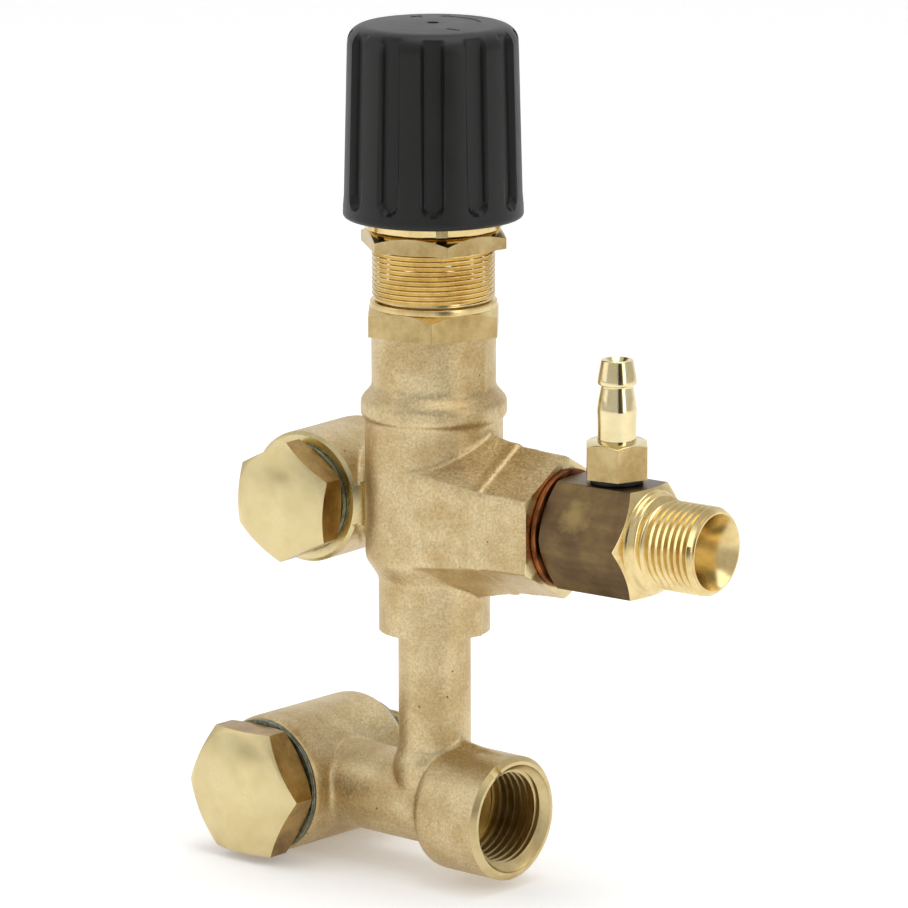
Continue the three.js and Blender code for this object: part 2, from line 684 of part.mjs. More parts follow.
const upperGroup = new THREE.Group();
upperGroup.add(
  node('valve_body', valveBody(), castBrass),
  node('upper_banjo_bolt', upperBolt(), turnedBrass),
  node('upper_bolt_washer', frontWasher(upperWasherR, upperEyeFront, upperAt), steel),
  node('upper_pump_washer', pumpWasher(upperSealR, upperEyeBack, upperAt), steel),
  node('bonnet', bonnet(), turnedBrass),
  node('bonnet_oring', bonnetSeal(), rubber),
  node('stop_nut', stopNut(), turnedBrass),
  node('knob_insert', knobInsert(), turnedBrass),
  node('knob', knob(), blackPlastic),
  node('spring_seat', springSeat(), steel),
  node('main_spring', coilSpring(springMeanR, springWire, guideTop, seatPlateBottom, 10), steel),
  node('spring_guide', springGuide(), steel),
  node('piston', piston(), steel),
  node('piston_oring', pistonSeal(), rubber),
  node('piston_backup_ring', pistonBackup(), whitePlastic),
  node('bypass_ball', bypassBall(), steel),
  node('bypass_seat', bypassSeat(), steel),
  node('bypass_seat_oring', bypassSeatSeal(), rubber),
  node('check_seat', checkSeat(), steel),
  node('check_poppet', checkPoppet(), whitePlastic),
  node('check_spring', coilSpring(3.3, 0.7, checkSpringStart, checkSpringEnd, 6, 'x'), steel),
  node('outlet_washer', outletWasher(), copper),
  node('venturi_body', venturiBody(), darkBrass),
  node('venturi_nozzle', venturiNozzle(), steel),
  node('suction_ball', suctionBall(), steel),
  node('suction_spring', suctionSpring(), steel),
  node('hose_barb', hoseBarb(), turnedBrass),
  node('barb_washer', barbSeal(), rubber),
);

const lowerGroup = new THREE.Group();
lowerGroup.rotation.z = THREE.MathUtils.degToRad(manifoldTurn);
lowerGroup.add(
  node('inlet_manifold', inletManifold(), castBrass),
  node('tube_oring', tubeSeal(), rubber),
  node('lower_banjo_bolt', lowerBolt(), turnedBrass),
  node('lower_bolt_washer', frontWasher(lowerWasherR, lowerEyeFront, lowerAt), steel),
  node('lower_pump_washer', pumpWasher(lowerSealR, lowerEyeBack, lowerAt), steel),
);

const valve = new THREE.Group();
valve.position.set(-upperEyeX, -(upperEyeBack + GAP + sealThickness), 0);
valve.add(upperGroup, lowerGroup);

export default valve;
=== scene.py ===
import json
import math

import bmesh
import bpy
from mathutils import Matrix, Vector


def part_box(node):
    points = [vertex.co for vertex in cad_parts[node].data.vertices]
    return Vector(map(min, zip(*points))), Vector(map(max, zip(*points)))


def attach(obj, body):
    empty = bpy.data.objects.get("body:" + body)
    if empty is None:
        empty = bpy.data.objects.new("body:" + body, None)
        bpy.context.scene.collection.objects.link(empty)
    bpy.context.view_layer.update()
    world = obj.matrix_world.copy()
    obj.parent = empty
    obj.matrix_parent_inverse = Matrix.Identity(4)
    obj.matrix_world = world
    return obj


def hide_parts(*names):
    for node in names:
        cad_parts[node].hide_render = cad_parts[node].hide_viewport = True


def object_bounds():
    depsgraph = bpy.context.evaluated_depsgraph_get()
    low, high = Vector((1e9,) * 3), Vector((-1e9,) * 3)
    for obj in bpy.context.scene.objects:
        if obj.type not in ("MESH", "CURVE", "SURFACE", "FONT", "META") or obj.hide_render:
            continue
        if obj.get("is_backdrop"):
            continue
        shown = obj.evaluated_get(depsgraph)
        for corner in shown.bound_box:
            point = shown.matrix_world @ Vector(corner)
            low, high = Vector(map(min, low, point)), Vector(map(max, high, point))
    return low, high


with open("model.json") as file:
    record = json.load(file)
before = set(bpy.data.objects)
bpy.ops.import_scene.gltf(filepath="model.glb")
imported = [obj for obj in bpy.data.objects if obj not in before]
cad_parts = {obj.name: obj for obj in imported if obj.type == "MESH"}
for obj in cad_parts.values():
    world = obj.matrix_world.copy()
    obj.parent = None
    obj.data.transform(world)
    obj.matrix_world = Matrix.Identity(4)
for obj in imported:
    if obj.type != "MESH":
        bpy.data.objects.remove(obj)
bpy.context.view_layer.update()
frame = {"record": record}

# ---------------------------------------------------------------- product studio
# A long lens looks down a little on a pale sheet that curves up behind the valve.
# Two big soft boxes and the white room light the brass, and a dark flag beside the
# camera gives its polished edges something dark to mirror.

MM = 0.001


BONNET_LOW, BONNET_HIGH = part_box("bonnet")
HOME = Vector((BONNET_LOW.x + BONNET_HIGH.x, BONNET_LOW.y + BONNET_HIGH.y, 0)) / 2 / MM


def camera_vectors(azimuth, elevation):
    right = Vector((math.cos(azimuth), math.sin(azimuth), 0))
    back = Vector((math.sin(azimuth) * math.cos(elevation), -math.cos(azimuth) * math.cos(elevation),
                   math.sin(elevation)))
    return right, back, back.cross(right)


def add_camera():
    azimuth, elevation, roll = math.radians(37.1), math.radians(12.4), math.radians(-0.13)
    distance, lens, sensor = 1323.5, 257.7, 36
    right, back, up = camera_vectors(azimuth, elevation)
    aim_point = HOME + right * 4.05 + up * 10.5
    camera = bpy.data.objects.new("camera", bpy.data.cameras.new("camera"))
    bpy.context.scene.collection.objects.link(camera)
    camera.data.lens = lens
    camera.data.sensor_width = sensor
    camera.data.clip_end = 50
    turn = Matrix((right, up, back)).transposed() @ Matrix.Rotation(roll, 3, "Z")
    camera.matrix_world = Matrix.Translation((aim_point + back * distance) * MM) @ turn.to_4x4()
    bpy.context.scene.camera = camera


def linear(hex_colour):
    channels = [int(hex_colour[i:i + 2], 16) / 255 for i in (1, 3, 5)]
    return [c / 12.92 if c <= 0.04045 else ((c + 0.055) / 1.055) ** 2.4 for c in channels] + [1]


def add_node(material, kind, settings=(), inputs=(), links=()):
    """Adds a node; inputs are socket values and links are (socket, other node, its output)."""
    node = material.node_tree.nodes.new(kind)
    for name, value in dict(settings).items():
        setattr(node, name, value)
    for name, value in dict(inputs).items():
        node.inputs[name].default_value = value
    for socket, source, output in links:
        material.node_tree.links.new(source.outputs[output], node.inputs[socket])
    return node


def new_material(name, colour, metallic, roughness, **shader_values):
    material = bpy.data.materials.new(name)
    material.use_nodes = True
    shader = material.node_tree.nodes["Principled BSDF"]
    shader.inputs["Base Color"].default_value = linear(colour)
    shader.inputs["Metallic"].default_value = metallic
    shader.inputs["Roughness"].default_value = roughness
    for socket, value in shader_values.items():
        shader.inputs[socket.replace("_", " ")].default_value = value
    material.diffuse_color = linear(colour)
    return material, shader


def soft_box(name, direction, distance, size, power, colour="#ffffff"):
    light = bpy.data.lights.new(name, "AREA")
    light.shape = "RECTANGLE"
    light.size, light.size_y = size
    light.energy = power
    light.color = linear(colour)[:3]
    box = bpy.data.objects.new(name, light)
    bpy.context.scene.collection.objects.link(box)
    focus = Vector((HOME.x, HOME.y, 10)) * MM
    towards = Vector(direction).normalized()
    turn = towards.to_track_quat("Z", "Y").to_matrix().to_4x4()
    box.matrix_world = Matrix.Translation(focus + towards * distance) @ turn


def add_sheet(floor_z):
    """Pale paper: flat under the valve, then an arc up into a wall behind it."""
    right, back, up = camera_vectors(math.radians(37.1), 0)
    bm = bmesh.new()
    reach, bend = 1.6, 0.5
    outline = [(-2.2, 0)]
    for step in range(13):
        angle = step / 12 * math.pi / 2
        outline.append((reach + bend * math.sin(angle), bend - bend * math.cos(angle)))
    outline.append((reach + bend, 3))
    points = [bm.verts.new(-back * along + Vector((0, 0, height))) for along, height in outline]
    strip = [bm.edges.new(pair) for pair in zip(points, points[1:])]
    side = bmesh.ops.extrude_edge_only(bm, edges=strip)["geom"]
    bmesh.ops.translate(bm, verts=[v for v in side if isinstance(v, bmesh.types.BMVert)], vec=right * 3)
    bmesh.ops.translate(bm, verts=[v for v in side if isinstance(v, bmesh.types.BMVert)], vec=right * 3)
    bmesh.ops.translate(bm, verts=bm.verts, vec=-right * 3 + Vector((0, 0, floor_z)))
    mesh = bpy.data.meshes.new("paper_sheet")
    bm.to_mesh(mesh)
    mesh.shade_smooth()
    sheet = bpy.data.objects.new("paper_sheet", mesh)
    bpy.context.scene.collection.objects.link(sheet)
    paper, shader = new_material("white_studio_paper", "#fbfbfb", 0, 0.9, Emission_Strength=0.21)
    shader.inputs["Emission Color"].default_value = (1, 1, 1, 1)
    mesh.materials.append(paper)
    sheet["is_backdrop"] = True


def dark_flag(name, direction, distance, size):
    """A black card that the polished brass mirrors."""
    towards = Vector(direction).normalized()
    mesh = bpy.data.meshes.new(name)
    bm = bmesh.new()
    bmesh.ops.create_grid(bm, x_segments=1, y_segments=1, size=0.5)
    bmesh.ops.scale(bm, verts=bm.verts, vec=(size[0], size[1], 1))
    turn = towards.to_track_quat("Z", "Y").to_matrix().to_4x4()
    place = Matrix.Translation(HOME * MM + towards * distance) @ turn
    bmesh.ops.transform(bm, matrix=place, verts=bm.verts)
    bm.to_mesh(mesh)
    card = bpy.data.objects.new(name, mesh)
    bpy.context.scene.collection.objects.link(card)
    felt, shader = new_material(name + "_felt", "#141210", 0, 0.9)
    mesh.materials.append(felt)
    card.visible_camera = False
    card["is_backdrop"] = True


def add_room_light(strength):
    world = bpy.data.worlds.new("white_room")
    bpy.context.scene.world = world
    world.use_nodes = True
    background = world.node_tree.nodes["Background"]
    background.inputs["Color"].default_value = (1, 1, 1, 1)
    background.inputs["Strength"].default_value = strength


add_camera()
add_sheet(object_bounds()[0].z - 0.0004)
add_room_light(0.6)
soft_box("left_soft_box", (-0.8, -0.75, 0.55), 1.0, (0.7, 0.9), 1.2)
soft_box("top_soft_box", (0.1, 0.1, 1), 1.1, (0.9, 0.9), 5)
soft_box("right_strip", (1, -0.15, 0.35), 1.0, (0.25, 0.8), 1.4)
dark_flag("right_flag", (1, -0.62, -0.05), 0.7, (0.34, 0.8))
bpy.context.scene.view_settings.view_transform = "Standard"
bpy.context.scene.view_settings.look = "None"

# ---------------------------------------------------------------- main casting
# The valve's body, sand-cast in brass and shot-blasted: barrel, neck, collar, outlet
# arm and upper banjo eye flow into one another through soft fillets. Only its end
# faces and bores are machined afterwards.

STEPS = 96


def extent(node):
    """Lowest and highest corner of a CAD node, in millimetres from the main axis."""
    low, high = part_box(node)
    return low / MM - HOME, high / MM - HOME


def rounded(points, radius, arc_steps=3):
    """The outline with each inner corner turned into a short arc."""
    outline = [points[0]]
    for before, corner, after in zip(points, points[1:], points[2:]):
        before, corner, after = Vector(before), Vector(corner), Vector(after)
        reach = min(radius, (before - corner).length * 0.45, (after - corner).length * 0.45)
        start = corner + (before - corner).normalized() * reach
        end = corner + (after - corner).normalized() * reach
        for step in range(arc_steps + 1):
            t = step / arc_steps
            outline.append(start * (1 - t) ** 2 + corner * 2 * t * (1 - t) + end * t * t)
    outline.append(points[-1])
    return [(point[0], point[1]) for point in outline]


def aimed(bm, axis="Z", at=(0, 0, 0)):
    """Turns a shape that stands along +Z to lie along the named axis, at a place."""
    turn = {"Z": Matrix.Identity(4), "X": Matrix.Rotation(math.pi / 2, 4, "Y"),
            "Y": Matrix.Rotation(-math.pi / 2, 4, "X")}[axis]
    bmesh.ops.transform(bm, matrix=Matrix.Translation(at) @ turn, verts=bm.verts)
    return bm


def turned(profile, axis="Z", at=(0, 0, 0), steps=None):
    """A turned solid from an outline of (radius, distance along the axis)."""
    bm = bmesh.new()
    points = [bm.verts.new((radius, 0, along)) for radius, along in profile]
    edges = [bm.edges.new(pair) for pair in zip(points, points[1:])]
    bmesh.ops.spin(bm, geom=points + edges, cent=(0, 0, 0), axis=(0, 0, 1), angle=2 * math.pi,
                   steps=steps or STEPS, use_merge=True)
    bmesh.ops.remove_doubles(bm, verts=bm.verts, dist=1e-4)
    bmesh.ops.recalc_face_normals(bm, faces=bm.faces)
    return aimed(bm, axis, at)


def rod(radius, start, end, axis="Z", at=(0, 0, 0), steps=None):
    return turned([(0, start), (radius, start), (radius, end), (0, end)], axis, at, steps)


def block(size, middle, turn=None):
    bm = bmesh.new()
    bmesh.ops.create_cube(bm, size=1)
    bmesh.ops.scale(bm, verts=bm.verts, vec=size)
    bmesh.ops.translate(bm, verts=bm.verts, vec=middle)
    if turn:
        bmesh.ops.transform(bm, matrix=turn, verts=bm.verts)
    return bm


def as_object(bm, material=None, name="shape"):
    mesh = bpy.data.meshes.new(name)
    bm.to_mesh(mesh)
    bm.free()
    if material:
        mesh.materials.append(material)
    shape = bpy.data.objects.new(name, mesh)
    bpy.context.scene.collection.objects.link(shape)
    return shape


def applied(shape):
    """Bakes the shape's modifiers into its mesh."""
    bpy.context.view_layer.update()
    graph = bpy.context.evaluated_depsgraph_get()
    old = shape.data
    shape.data = bpy.data.meshes.new_from_object(shape.evaluated_get(graph))
    shape.modifiers.clear()
    bpy.data.meshes.remove(old)
    return shape


def weld(shape):
    """Merges the doubled points along a cut, which closes most of its seams."""
    bm = bmesh.new()
    bm.from_mesh(shape.data)
    bmesh.ops.remove_doubles(bm, verts=bm.verts, dist=5e-4)
    bmesh.ops.dissolve_degenerate(bm, edges=bm.edges, dist=1e-4)
    bm.to_mesh(shape.data)
    bm.free()


def combined(operation, shape, *tools):
    """Joins, cuts or keeps the common part of a shape and each tool, which is used up."""
    for tool in tools:
        step = shape.modifiers.new("combine", "BOOLEAN")
        step.operation = operation
        step.solver = "EXACT"
        step.material_mode = "TRANSFER"
        step.object = tool
        applied(shape)
        bpy.data.objects.remove(tool)
        weld(shape)
    return shape


def moulded(shells, material, grain, smoothing):
    """Overlapping shells fused into one skin, with every edge softened into a fillet."""
    bm = bmesh.new()
    for shell in shells:
        mesh = bpy.data.meshes.new("shell")
        shell.to_mesh(mesh)
        shell.free()
        bm.from_mesh(mesh)
        bpy.data.meshes.remove(mesh)
    shape = as_object(bm, material)
    fuse = shape.modifiers.new("fuse", "REMESH")
    fuse.mode = "VOXEL"
    fuse.voxel_size = grain * 1
    soften = shape.modifiers.new("soften", "SMOOTH")
    soften.factor = 0.5
    soften.iterations = max(1, smoothing // (1))
    return applied(shape)


def hull_between(first, second):
    """The solid that spans two flat sections, each a list of corners."""
    bm = bmesh.new()
    for corner in first + second:
        bm.verts.new(corner)
    bmesh.ops.convex_hull(bm, input=bm.verts)
    bmesh.ops.recalc_face_normals(bm, faces=bm.faces)
    return bm


def finished(shape, name, body, nodes, turn=0.0, crease=32):
    """Puts a finished shape in the frame, shades it and ties it to its body."""
    home = Matrix.Translation(HOME * MM) @ Matrix.Rotation(turn, 4, "Z") @ Matrix.Scale(MM, 4)
    shape.data.transform(home)
    shape.name = name + "_model"
    shape.data.name = name + "_model"
    shape.data.shade_smooth()
    shape.data.set_sharp_from_angle(angle=math.radians(crease))
    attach(shape, body)
    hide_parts(*nodes)
    return shape


def scaled_colour(material, colour_node, output, factor_node):
    return add_node(material, "ShaderNodeVectorMath", {"operation": "SCALE"},
                    links=[("Vector", colour_node, output), ("Scale", factor_node, "Result")])


def cast_brass():
    """Sand-cast brass, shot-blasted: a satin warm grey gold with a fine sparkling grain,
    small cooler and browner clouds, and a few pinholes."""
    material, shader = new_material("shot_blasted_cast_brass", "#d2bd90", 1, 0.42)
    place = add_node(material, "ShaderNodeTexCoord")
    clouds = add_node(material, "ShaderNodeTexNoise", inputs={"Scale": 110, "Detail": 4, "Roughness": 0.6},
                      links=[("Vector", place, "Object")])
    shade = add_node(material, "ShaderNodeValToRGB", links=[("Fac", clouds, "Fac")])
    shade.color_ramp.elements[0].position = 0.36
    shade.color_ramp.elements[0].color = linear("#c3aa7b")
    shade.color_ramp.elements[1].position = 0.62
    shade.color_ramp.elements[1].color = linear("#d8c499")
    grain = add_node(material, "ShaderNodeTexNoise", inputs={"Scale": 1900, "Detail": 3, "Roughness": 0.65},
                     links=[("Vector", place, "Object")])
    fleck = add_node(material, "ShaderNodeMapRange",
                     inputs={"From Min": 0.3, "From Max": 0.7, "To Min": 0.72, "To Max": 1.2},
                     links=[("Value", grain, "Fac")])
    tone = scaled_colour(material, shade, "Color", fleck)
    cells = add_node(material, "ShaderNodeTexVoronoi", inputs={"Scale": 210, "Randomness": 1},
                     links=[("Vector", place, "Object")])
    pinhole = add_node(material, "ShaderNodeMapRange", inputs={"From Min": 0.03, "From Max": 0.055},
                       links=[("Value", cells, "Distance")])
    holed = add_node(material, "ShaderNodeMix", {"data_type": "RGBA"},
                     links=[(0, pinhole, "Result"), (7, tone, "Vector")])
    holed.inputs[6].default_value = linear("#6b5330")
    material.node_tree.links.new(holed.outputs[2], shader.inputs["Base Color"])
    matt = add_node(material, "ShaderNodeMapRange",
                    inputs={"From Min": 0.3, "From Max": 0.7, "To Min": 0.33, "To Max": 0.5},
                    links=[("Value", grain, "Fac")])
    material.node_tree.links.new(matt.outputs["Result"], shader.inputs["Roughness"])
    coarse = add_node(material, "ShaderNodeTexNoise", inputs={"Scale": 620, "Detail": 2},
                      links=[("Vector", place, "Object")])
    sand = add_node(material, "ShaderNodeBump", inputs={"Strength": 0.35, "Distance": 0.00012},
                    links=[("Height", coarse, "Fac")])
    blast = add_node(material, "ShaderNodeBump", inputs={"Strength": 0.8, "Distance": 0.00009},
                     links=[("Height", grain, "Fac"), ("Normal", sand, "Normal")])
    pits = add_node(material, "ShaderNodeBump", inputs={"Strength": 0.6, "Distance": 0.0001},
                    links=[("Height", pinhole, "Result"), ("Normal", blast, "Normal")])
    material.node_tree.links.new(pits.outputs["Normal"], shader.inputs["Normal"])
    return material


AXES = {"X": Vector((1, 0, 0)), "Y": Vector((0, 1, 0)), "Z": Vector((0, 0, 1))}


def machined_brass(name, light, dark, centre, axis, groove_mm, roughness, depth_mm):
    """Brass off the lathe: pale gold, with fine rings round its own axis that draw a
    bow-tie of light across a faced end, and faint tarnish and handling marks."""
    material, shader = new_material(name, light, 1, roughness, Anisotropic=0.8)
    place = add_node(material, "ShaderNodeTexCoord")
    centred = add_node(material, "ShaderNodeVectorMath", {"operation": "SUBTRACT"},
        links=[(0, place, "Object")])
    centred.inputs[1].default_value = (HOME + Vector(centre)) * MM
    along = add_node(material, "ShaderNodeVectorMath", {"operation": "DOT_PRODUCT"},
        links=[(0, centred, "Vector")])
    along.inputs[1].default_value = AXES[axis]
    ring_way = add_node(material, "ShaderNodeVectorMath", {"operation": "CROSS_PRODUCT"},
                        links=[(1, centred, "Vector")])
    ring_way.inputs[0].default_value = AXES[axis]
    grain_way = add_node(material, "ShaderNodeVectorMath", {"operation": "NORMALIZE"},
                         links=[(0, ring_way, "Vector")])
    material.node_tree.links.new(grain_way.outputs["Vector"], shader.inputs["Tangent"])
    radius = add_node(material, "ShaderNodeVectorMath", {"operation": "LENGTH"},
        links=[(0, ring_way, "Vector")])
    total = add_node(material, "ShaderNodeMath", {"operation": "ADD"},
        links=[(0, radius, "Value"), (1, along, "Value")])
    pitch = add_node(material, "ShaderNodeMath", {"operation": "DIVIDE"}, {1: groove_mm * MM},
        [(0, total, "Value")])
    rings = add_node(material, "ShaderNodeTexNoise", {"noise_dimensions": "1D"},
                     {"Scale": 1, "Detail": 3, "Roughness": 0.7}, [("W", pitch, "Value")])
    cut = add_node(material, "ShaderNodeBump", inputs={"Strength": 0.5, "Distance": depth_mm * MM},
                   links=[("Height", rings, "Fac")])
    material.node_tree.links.new(cut.outputs["Normal"], shader.inputs["Normal"])
    clouds = add_node(material, "ShaderNodeTexNoise", inputs={"Scale": 170, "Detail": 5, "Roughness": 0.62},
                      links=[("Vector", place, "Object")])
    tone = add_node(material, "ShaderNodeValToRGB", links=[("Fac", clouds, "Fac")])
    tone.color_ramp.elements[0].position = 0.22
    tone.color_ramp.elements[0].color = linear(dark)
    tone.color_ramp.elements[1].position = 0.6
    tone.color_ramp.elements[1].color = linear(light)
    material.node_tree.links.new(tone.outputs["Color"], shader.inputs["Base Color"])
    rub = add_node(material, "ShaderNodeMapRange",
                   inputs={"From Min": 0.3, "From Max": 0.7, "To Min": roughness * 0.92,
                   "To Max": roughness * 1.12},
                   links=[("Value", clouds, "Fac")])
    material.node_tree.links.new(rub.outputs["Result"], shader.inputs["Roughness"])
    return material


BODY_LOW, BODY_HIGH = extent("valve_body")
BOLT_LOW, BOLT_HIGH = extent("upper_banjo_bolt")
collar_bottom, neck_top, arm_end = BODY_LOW.z, BODY_HIGH.z, BODY_HIGH.x
barrel_radius, ring_radius, neck_radius, collar_radius = 14.06, 14.9, 12.65, 11.4
barrel_top, ring_top = 19.3, 22.6
eye_x = (BOLT_LOW.x + BOLT_HIGH.x) / 2
eye_front, eye_back = -9.4, 12
eye_radius = eye_x - BODY_LOW.x
arm_plane, arm_flat, arm_peak = 20.5, 13.5, 15.6
bolt_clearance = 8.6
CAST = cast_brass()


def arm_section(x, flat, peak):
    """A hexagon across the arm: flats face front and back, ridges up and down."""
    sides = [Vector((x, side * flat, height * peak / 2)) for side in (-1, 1) for height in (-1, 1)]
    return sides + [Vector((x, 0, -peak)), Vector((x, 0, peak))]


def body_shells():
    column = turned(rounded([
        (0, collar_bottom - 2), (collar_radius, collar_bottom - 2), (collar_radius, -14.4),
        (barrel_radius, -10.4), (barrel_radius, barrel_top - 0.3), (ring_radius, barrel_top),
        (ring_radius, ring_top), (neck_radius, ring_top + 2.4), (neck_radius, neck_top + 2),
        (0, neck_top + 2)], 0.7))
    eye = turned(rounded([
        (0, eye_front - 1), (eye_radius, eye_front - 1), (eye_radius, eye_back), (0, eye_back)], 1.6),
        "Y", (eye_x, 0, 0))
    bridge = rod(10.4, eye_x, 0, "X", (0, eye_back - 10.5, 0))
    flare = hull_between(arm_section(0, barrel_radius - 0.25, 20.3),
        arm_section(arm_plane, arm_flat, arm_peak))
    rib = hull_between(arm_section(arm_plane - 1.5, arm_flat + 0.12, arm_peak + 0.35),
                       arm_section(arm_plane + 0.9, arm_flat + 0.12, arm_peak + 0.35))
    straight = hull_between(arm_section(arm_plane, arm_flat - 0.1, arm_peak - 0.2),
                            arm_section(arm_end + 2, arm_flat - 0.1, arm_peak - 0.9))
    seam_height = neck_top - ring_top
    neck_seam = block((1, 0.9, seam_height), (neck_radius - 0.05, 0, neck_top - seam_height / 2 + 2))
    collar_seam = block((1, 0.9, 12), (collar_radius - 0.05, 0, collar_bottom + 5))
    return [column, eye, bridge, flare, rib, straight, neck_seam, collar_seam]


def flow_arrow():
    """The raised outline of a triangle that points out of the outlet."""
    bm = bmesh.new()
    front = -arm_flat - 0.42
    corners = [bm.verts.new(place)
        for place in [(12.9, front, 2.2), (12.9, front, -1.8), (17.6, front, 0.2)]]
    inner = bm.faces.new(corners)
    bmesh.ops.inset_region(bm, faces=[inner], thickness=0.4, use_even_offset=True)
    bmesh.ops.delete(bm, geom=[inner], context="FACES_ONLY")
    ridge = bmesh.ops.extrude_face_region(bm, geom=bm.faces[:])["geom"]
    lifted = [item for item in ridge if isinstance(item, bmesh.types.BMVert)]
    bmesh.ops.translate(bm, verts=lifted, vec=(0, 2, 0))
    bmesh.ops.recalc_face_normals(bm, faces=bm.faces)
    return bm


def build_valve_body():
    faced = machined_brass("lathe_faced_body_brass", "#decf9f", "#cbb680", (eye_x, 0, 0), "Y", 0.25, 0.27,
        0.01)
    body = moulded(body_shells(), CAST, 0.42, 7)
    body = combined("UNION", body, as_object(flow_arrow(), CAST))
    main_bore = turned([
        (0, collar_bottom - 3), (20, collar_bottom - 3), (20, collar_bottom), (8.0, collar_bottom),
        (7.5, collar_bottom + 0.5), (7.5, -14.2), (4.5, -14.2), (4.5, -12.1), (7.5, -12.1), (7.5, 10.8),
        (8.7, 10.8),
        (8.7, 23.9), (10.9, 23.9), (10.9, neck_top - 0.4), (11.3, neck_top), (20, neck_top),
        (20, neck_top + 3),
        (0, neck_top + 3)])
    outlet_bore = turned([
        (0, 0), (3.5, 0), (3.5, 11), (6.5, 11), (6.5, 23.6), (8.1, 23.6), (8.1, arm_end), (14.2, arm_end),
        (17.5, arm_end - 1.6), (20, arm_end - 1.6), (20, arm_end + 3), (0, arm_end + 3)], "X")
    bolt_bore = turned([
        (0, eye_front - 3), (16, eye_front - 3), (16, eye_front + 1.6), (14.4, eye_front + 1.6),
        (12.9, eye_front),
        (bolt_clearance, eye_front), (bolt_clearance, -3.7), (10, -2.7), (10, 5.3), (bolt_clearance, 6.3),
        (bolt_clearance, eye_back), (11.8, eye_back), (11.8, eye_back + 2), (0, eye_back + 2)], "Y",
        (eye_x, 0, 0))
    inlet = rod(4.5, eye_x, 0, "X", (0, 1, 0))
    cutters = [as_object(shape, faced) for shape in (main_bore, outlet_bore, bolt_bore, inlet)]
    body = combined("DIFFERENCE", body, *cutters)
    finished(body, "valve_body_casting", "valve", ["valve_body"])


build_valve_body()

# ---------------------------------------------------------------- inlet casting
# The lower casting: a plain tube that slides up into the collar, a banjo eye for the
# pump's suction port, and a threaded G1/2 boss. Same foundry brass as the body. The
# boss is faced, chamfered and tapped, and one notch is cut into its rim.

PORT_AXIS = next(m["axis"] for m in frame["record"]["mounts"] if m["name"] == "inlet_port_face")
LOWER_TURN = math.atan2(PORT_AXIS[1], PORT_AXIS[0])
MANIFOLD_HIGH = extent("inlet_manifold")[1]
LOWER_BOLT_LOW, LOWER_BOLT_HIGH = extent("lower_banjo_bolt")
port_z = (LOWER_BOLT_LOW.z + LOWER_BOLT_HIGH.z) / 2
lower_eye_x, lower_eye_radius, lower_eye_front, lower_eye_back = -35, 14.35, -13, 17
port_start, port_end, port_radius = 4.4, 21.6, 12.9
thread_minor, thread_major, thread_pitch = 9.32, 10.48, 1.814
tube_radius, tube_bore = 7.43, 4.5
tube_top = MANIFOLD_HIGH.z


def thread(inner, outer, start, end, pitch, axis="Z", at=(0, 0, 0)):
    """A solid screw thread with flat roots and crests, cut square at both ends."""
    bm = bmesh.new()
    shape = [(inner, 0), (inner, 0.12), (outer, 0.44), (outer, 0.56)]
    turns = math.ceil((end - start) / pitch) + 2
    points = []
    for turn in range(turns):
        points += [bm.verts.new((radius, 0, start + (turn - 1 + part) * pitch)) for radius, part in shape]
    edges = [bm.edges.new(pair) for pair in zip(points, points[1:])]
    bmesh.ops.spin(bm, geom=points + edges, cent=(0, 0, 0), axis=(0, 0, 1), angle=2 * math.pi, steps=STEPS,
                   dvec=(0, 0, pitch / STEPS))
    bmesh.ops.remove_doubles(bm, verts=bm.verts, dist=1e-4)
    for height, way in ((start, -1), (end, 1)):
        everything = bm.verts[:] + bm.edges[:] + bm.faces[:]
        bmesh.ops.bisect_plane(bm, geom=everything, plane_co=(0, 0, height), plane_no=(0, 0, way),
            clear_outer=True)
        rim = [edge for edge in bm.edges if edge.is_boundary and abs(edge.verts[0].co.z - height) < 1e-3
               and abs(edge.verts[1].co.z - height) < 1e-3]
        bmesh.ops.edgeloop_fill(bm, edges=rim)
    bmesh.ops.recalc_face_normals(bm, faces=bm.faces)
    return aimed(bm, axis, at)


def manifold_shells():
    eye_at, port_at = (lower_eye_x, 0, port_z), (0, 0, port_z)
    eye = turned(rounded([
        (0, lower_eye_front - 1), (lower_eye_radius, lower_eye_front - 1),
        (lower_eye_radius, lower_eye_back),
        (0, lower_eye_back)], 2.6), "Y", eye_at)
    arm = rod(9, lower_eye_x, port_start + 2, "X", port_at)
    port = turned(rounded([
        (0, port_start - 2.6), (port_radius - 4, port_start - 2.2), (port_radius, port_start + 1),
        (port_radius, port_end + 2), (0, port_end + 2)], 1.8), "X", port_at)
    tube = turned([
        (0, port_z), (tube_radius + 1, port_z), (tube_radius + 1, port_z + 9.2),
        (tube_radius + 0.4, port_z + 10.6),
        (tube_radius, port_z + 12.5), (tube_radius, tube_top + 2), (0, tube_top + 2)])
    peak = port_z + port_radius
    gable = hull_between([Vector((4, -5, peak - 1.4)), Vector((4, 5, peak - 1.4)),
        Vector((4, 0, peak + 1.9))],
                         [Vector((19, -1, peak - 0.2)), Vector((19, 1, peak - 0.2)),
                         Vector((19, 0, peak + 0.1))])
    return [eye, arm, port, tube, gable]


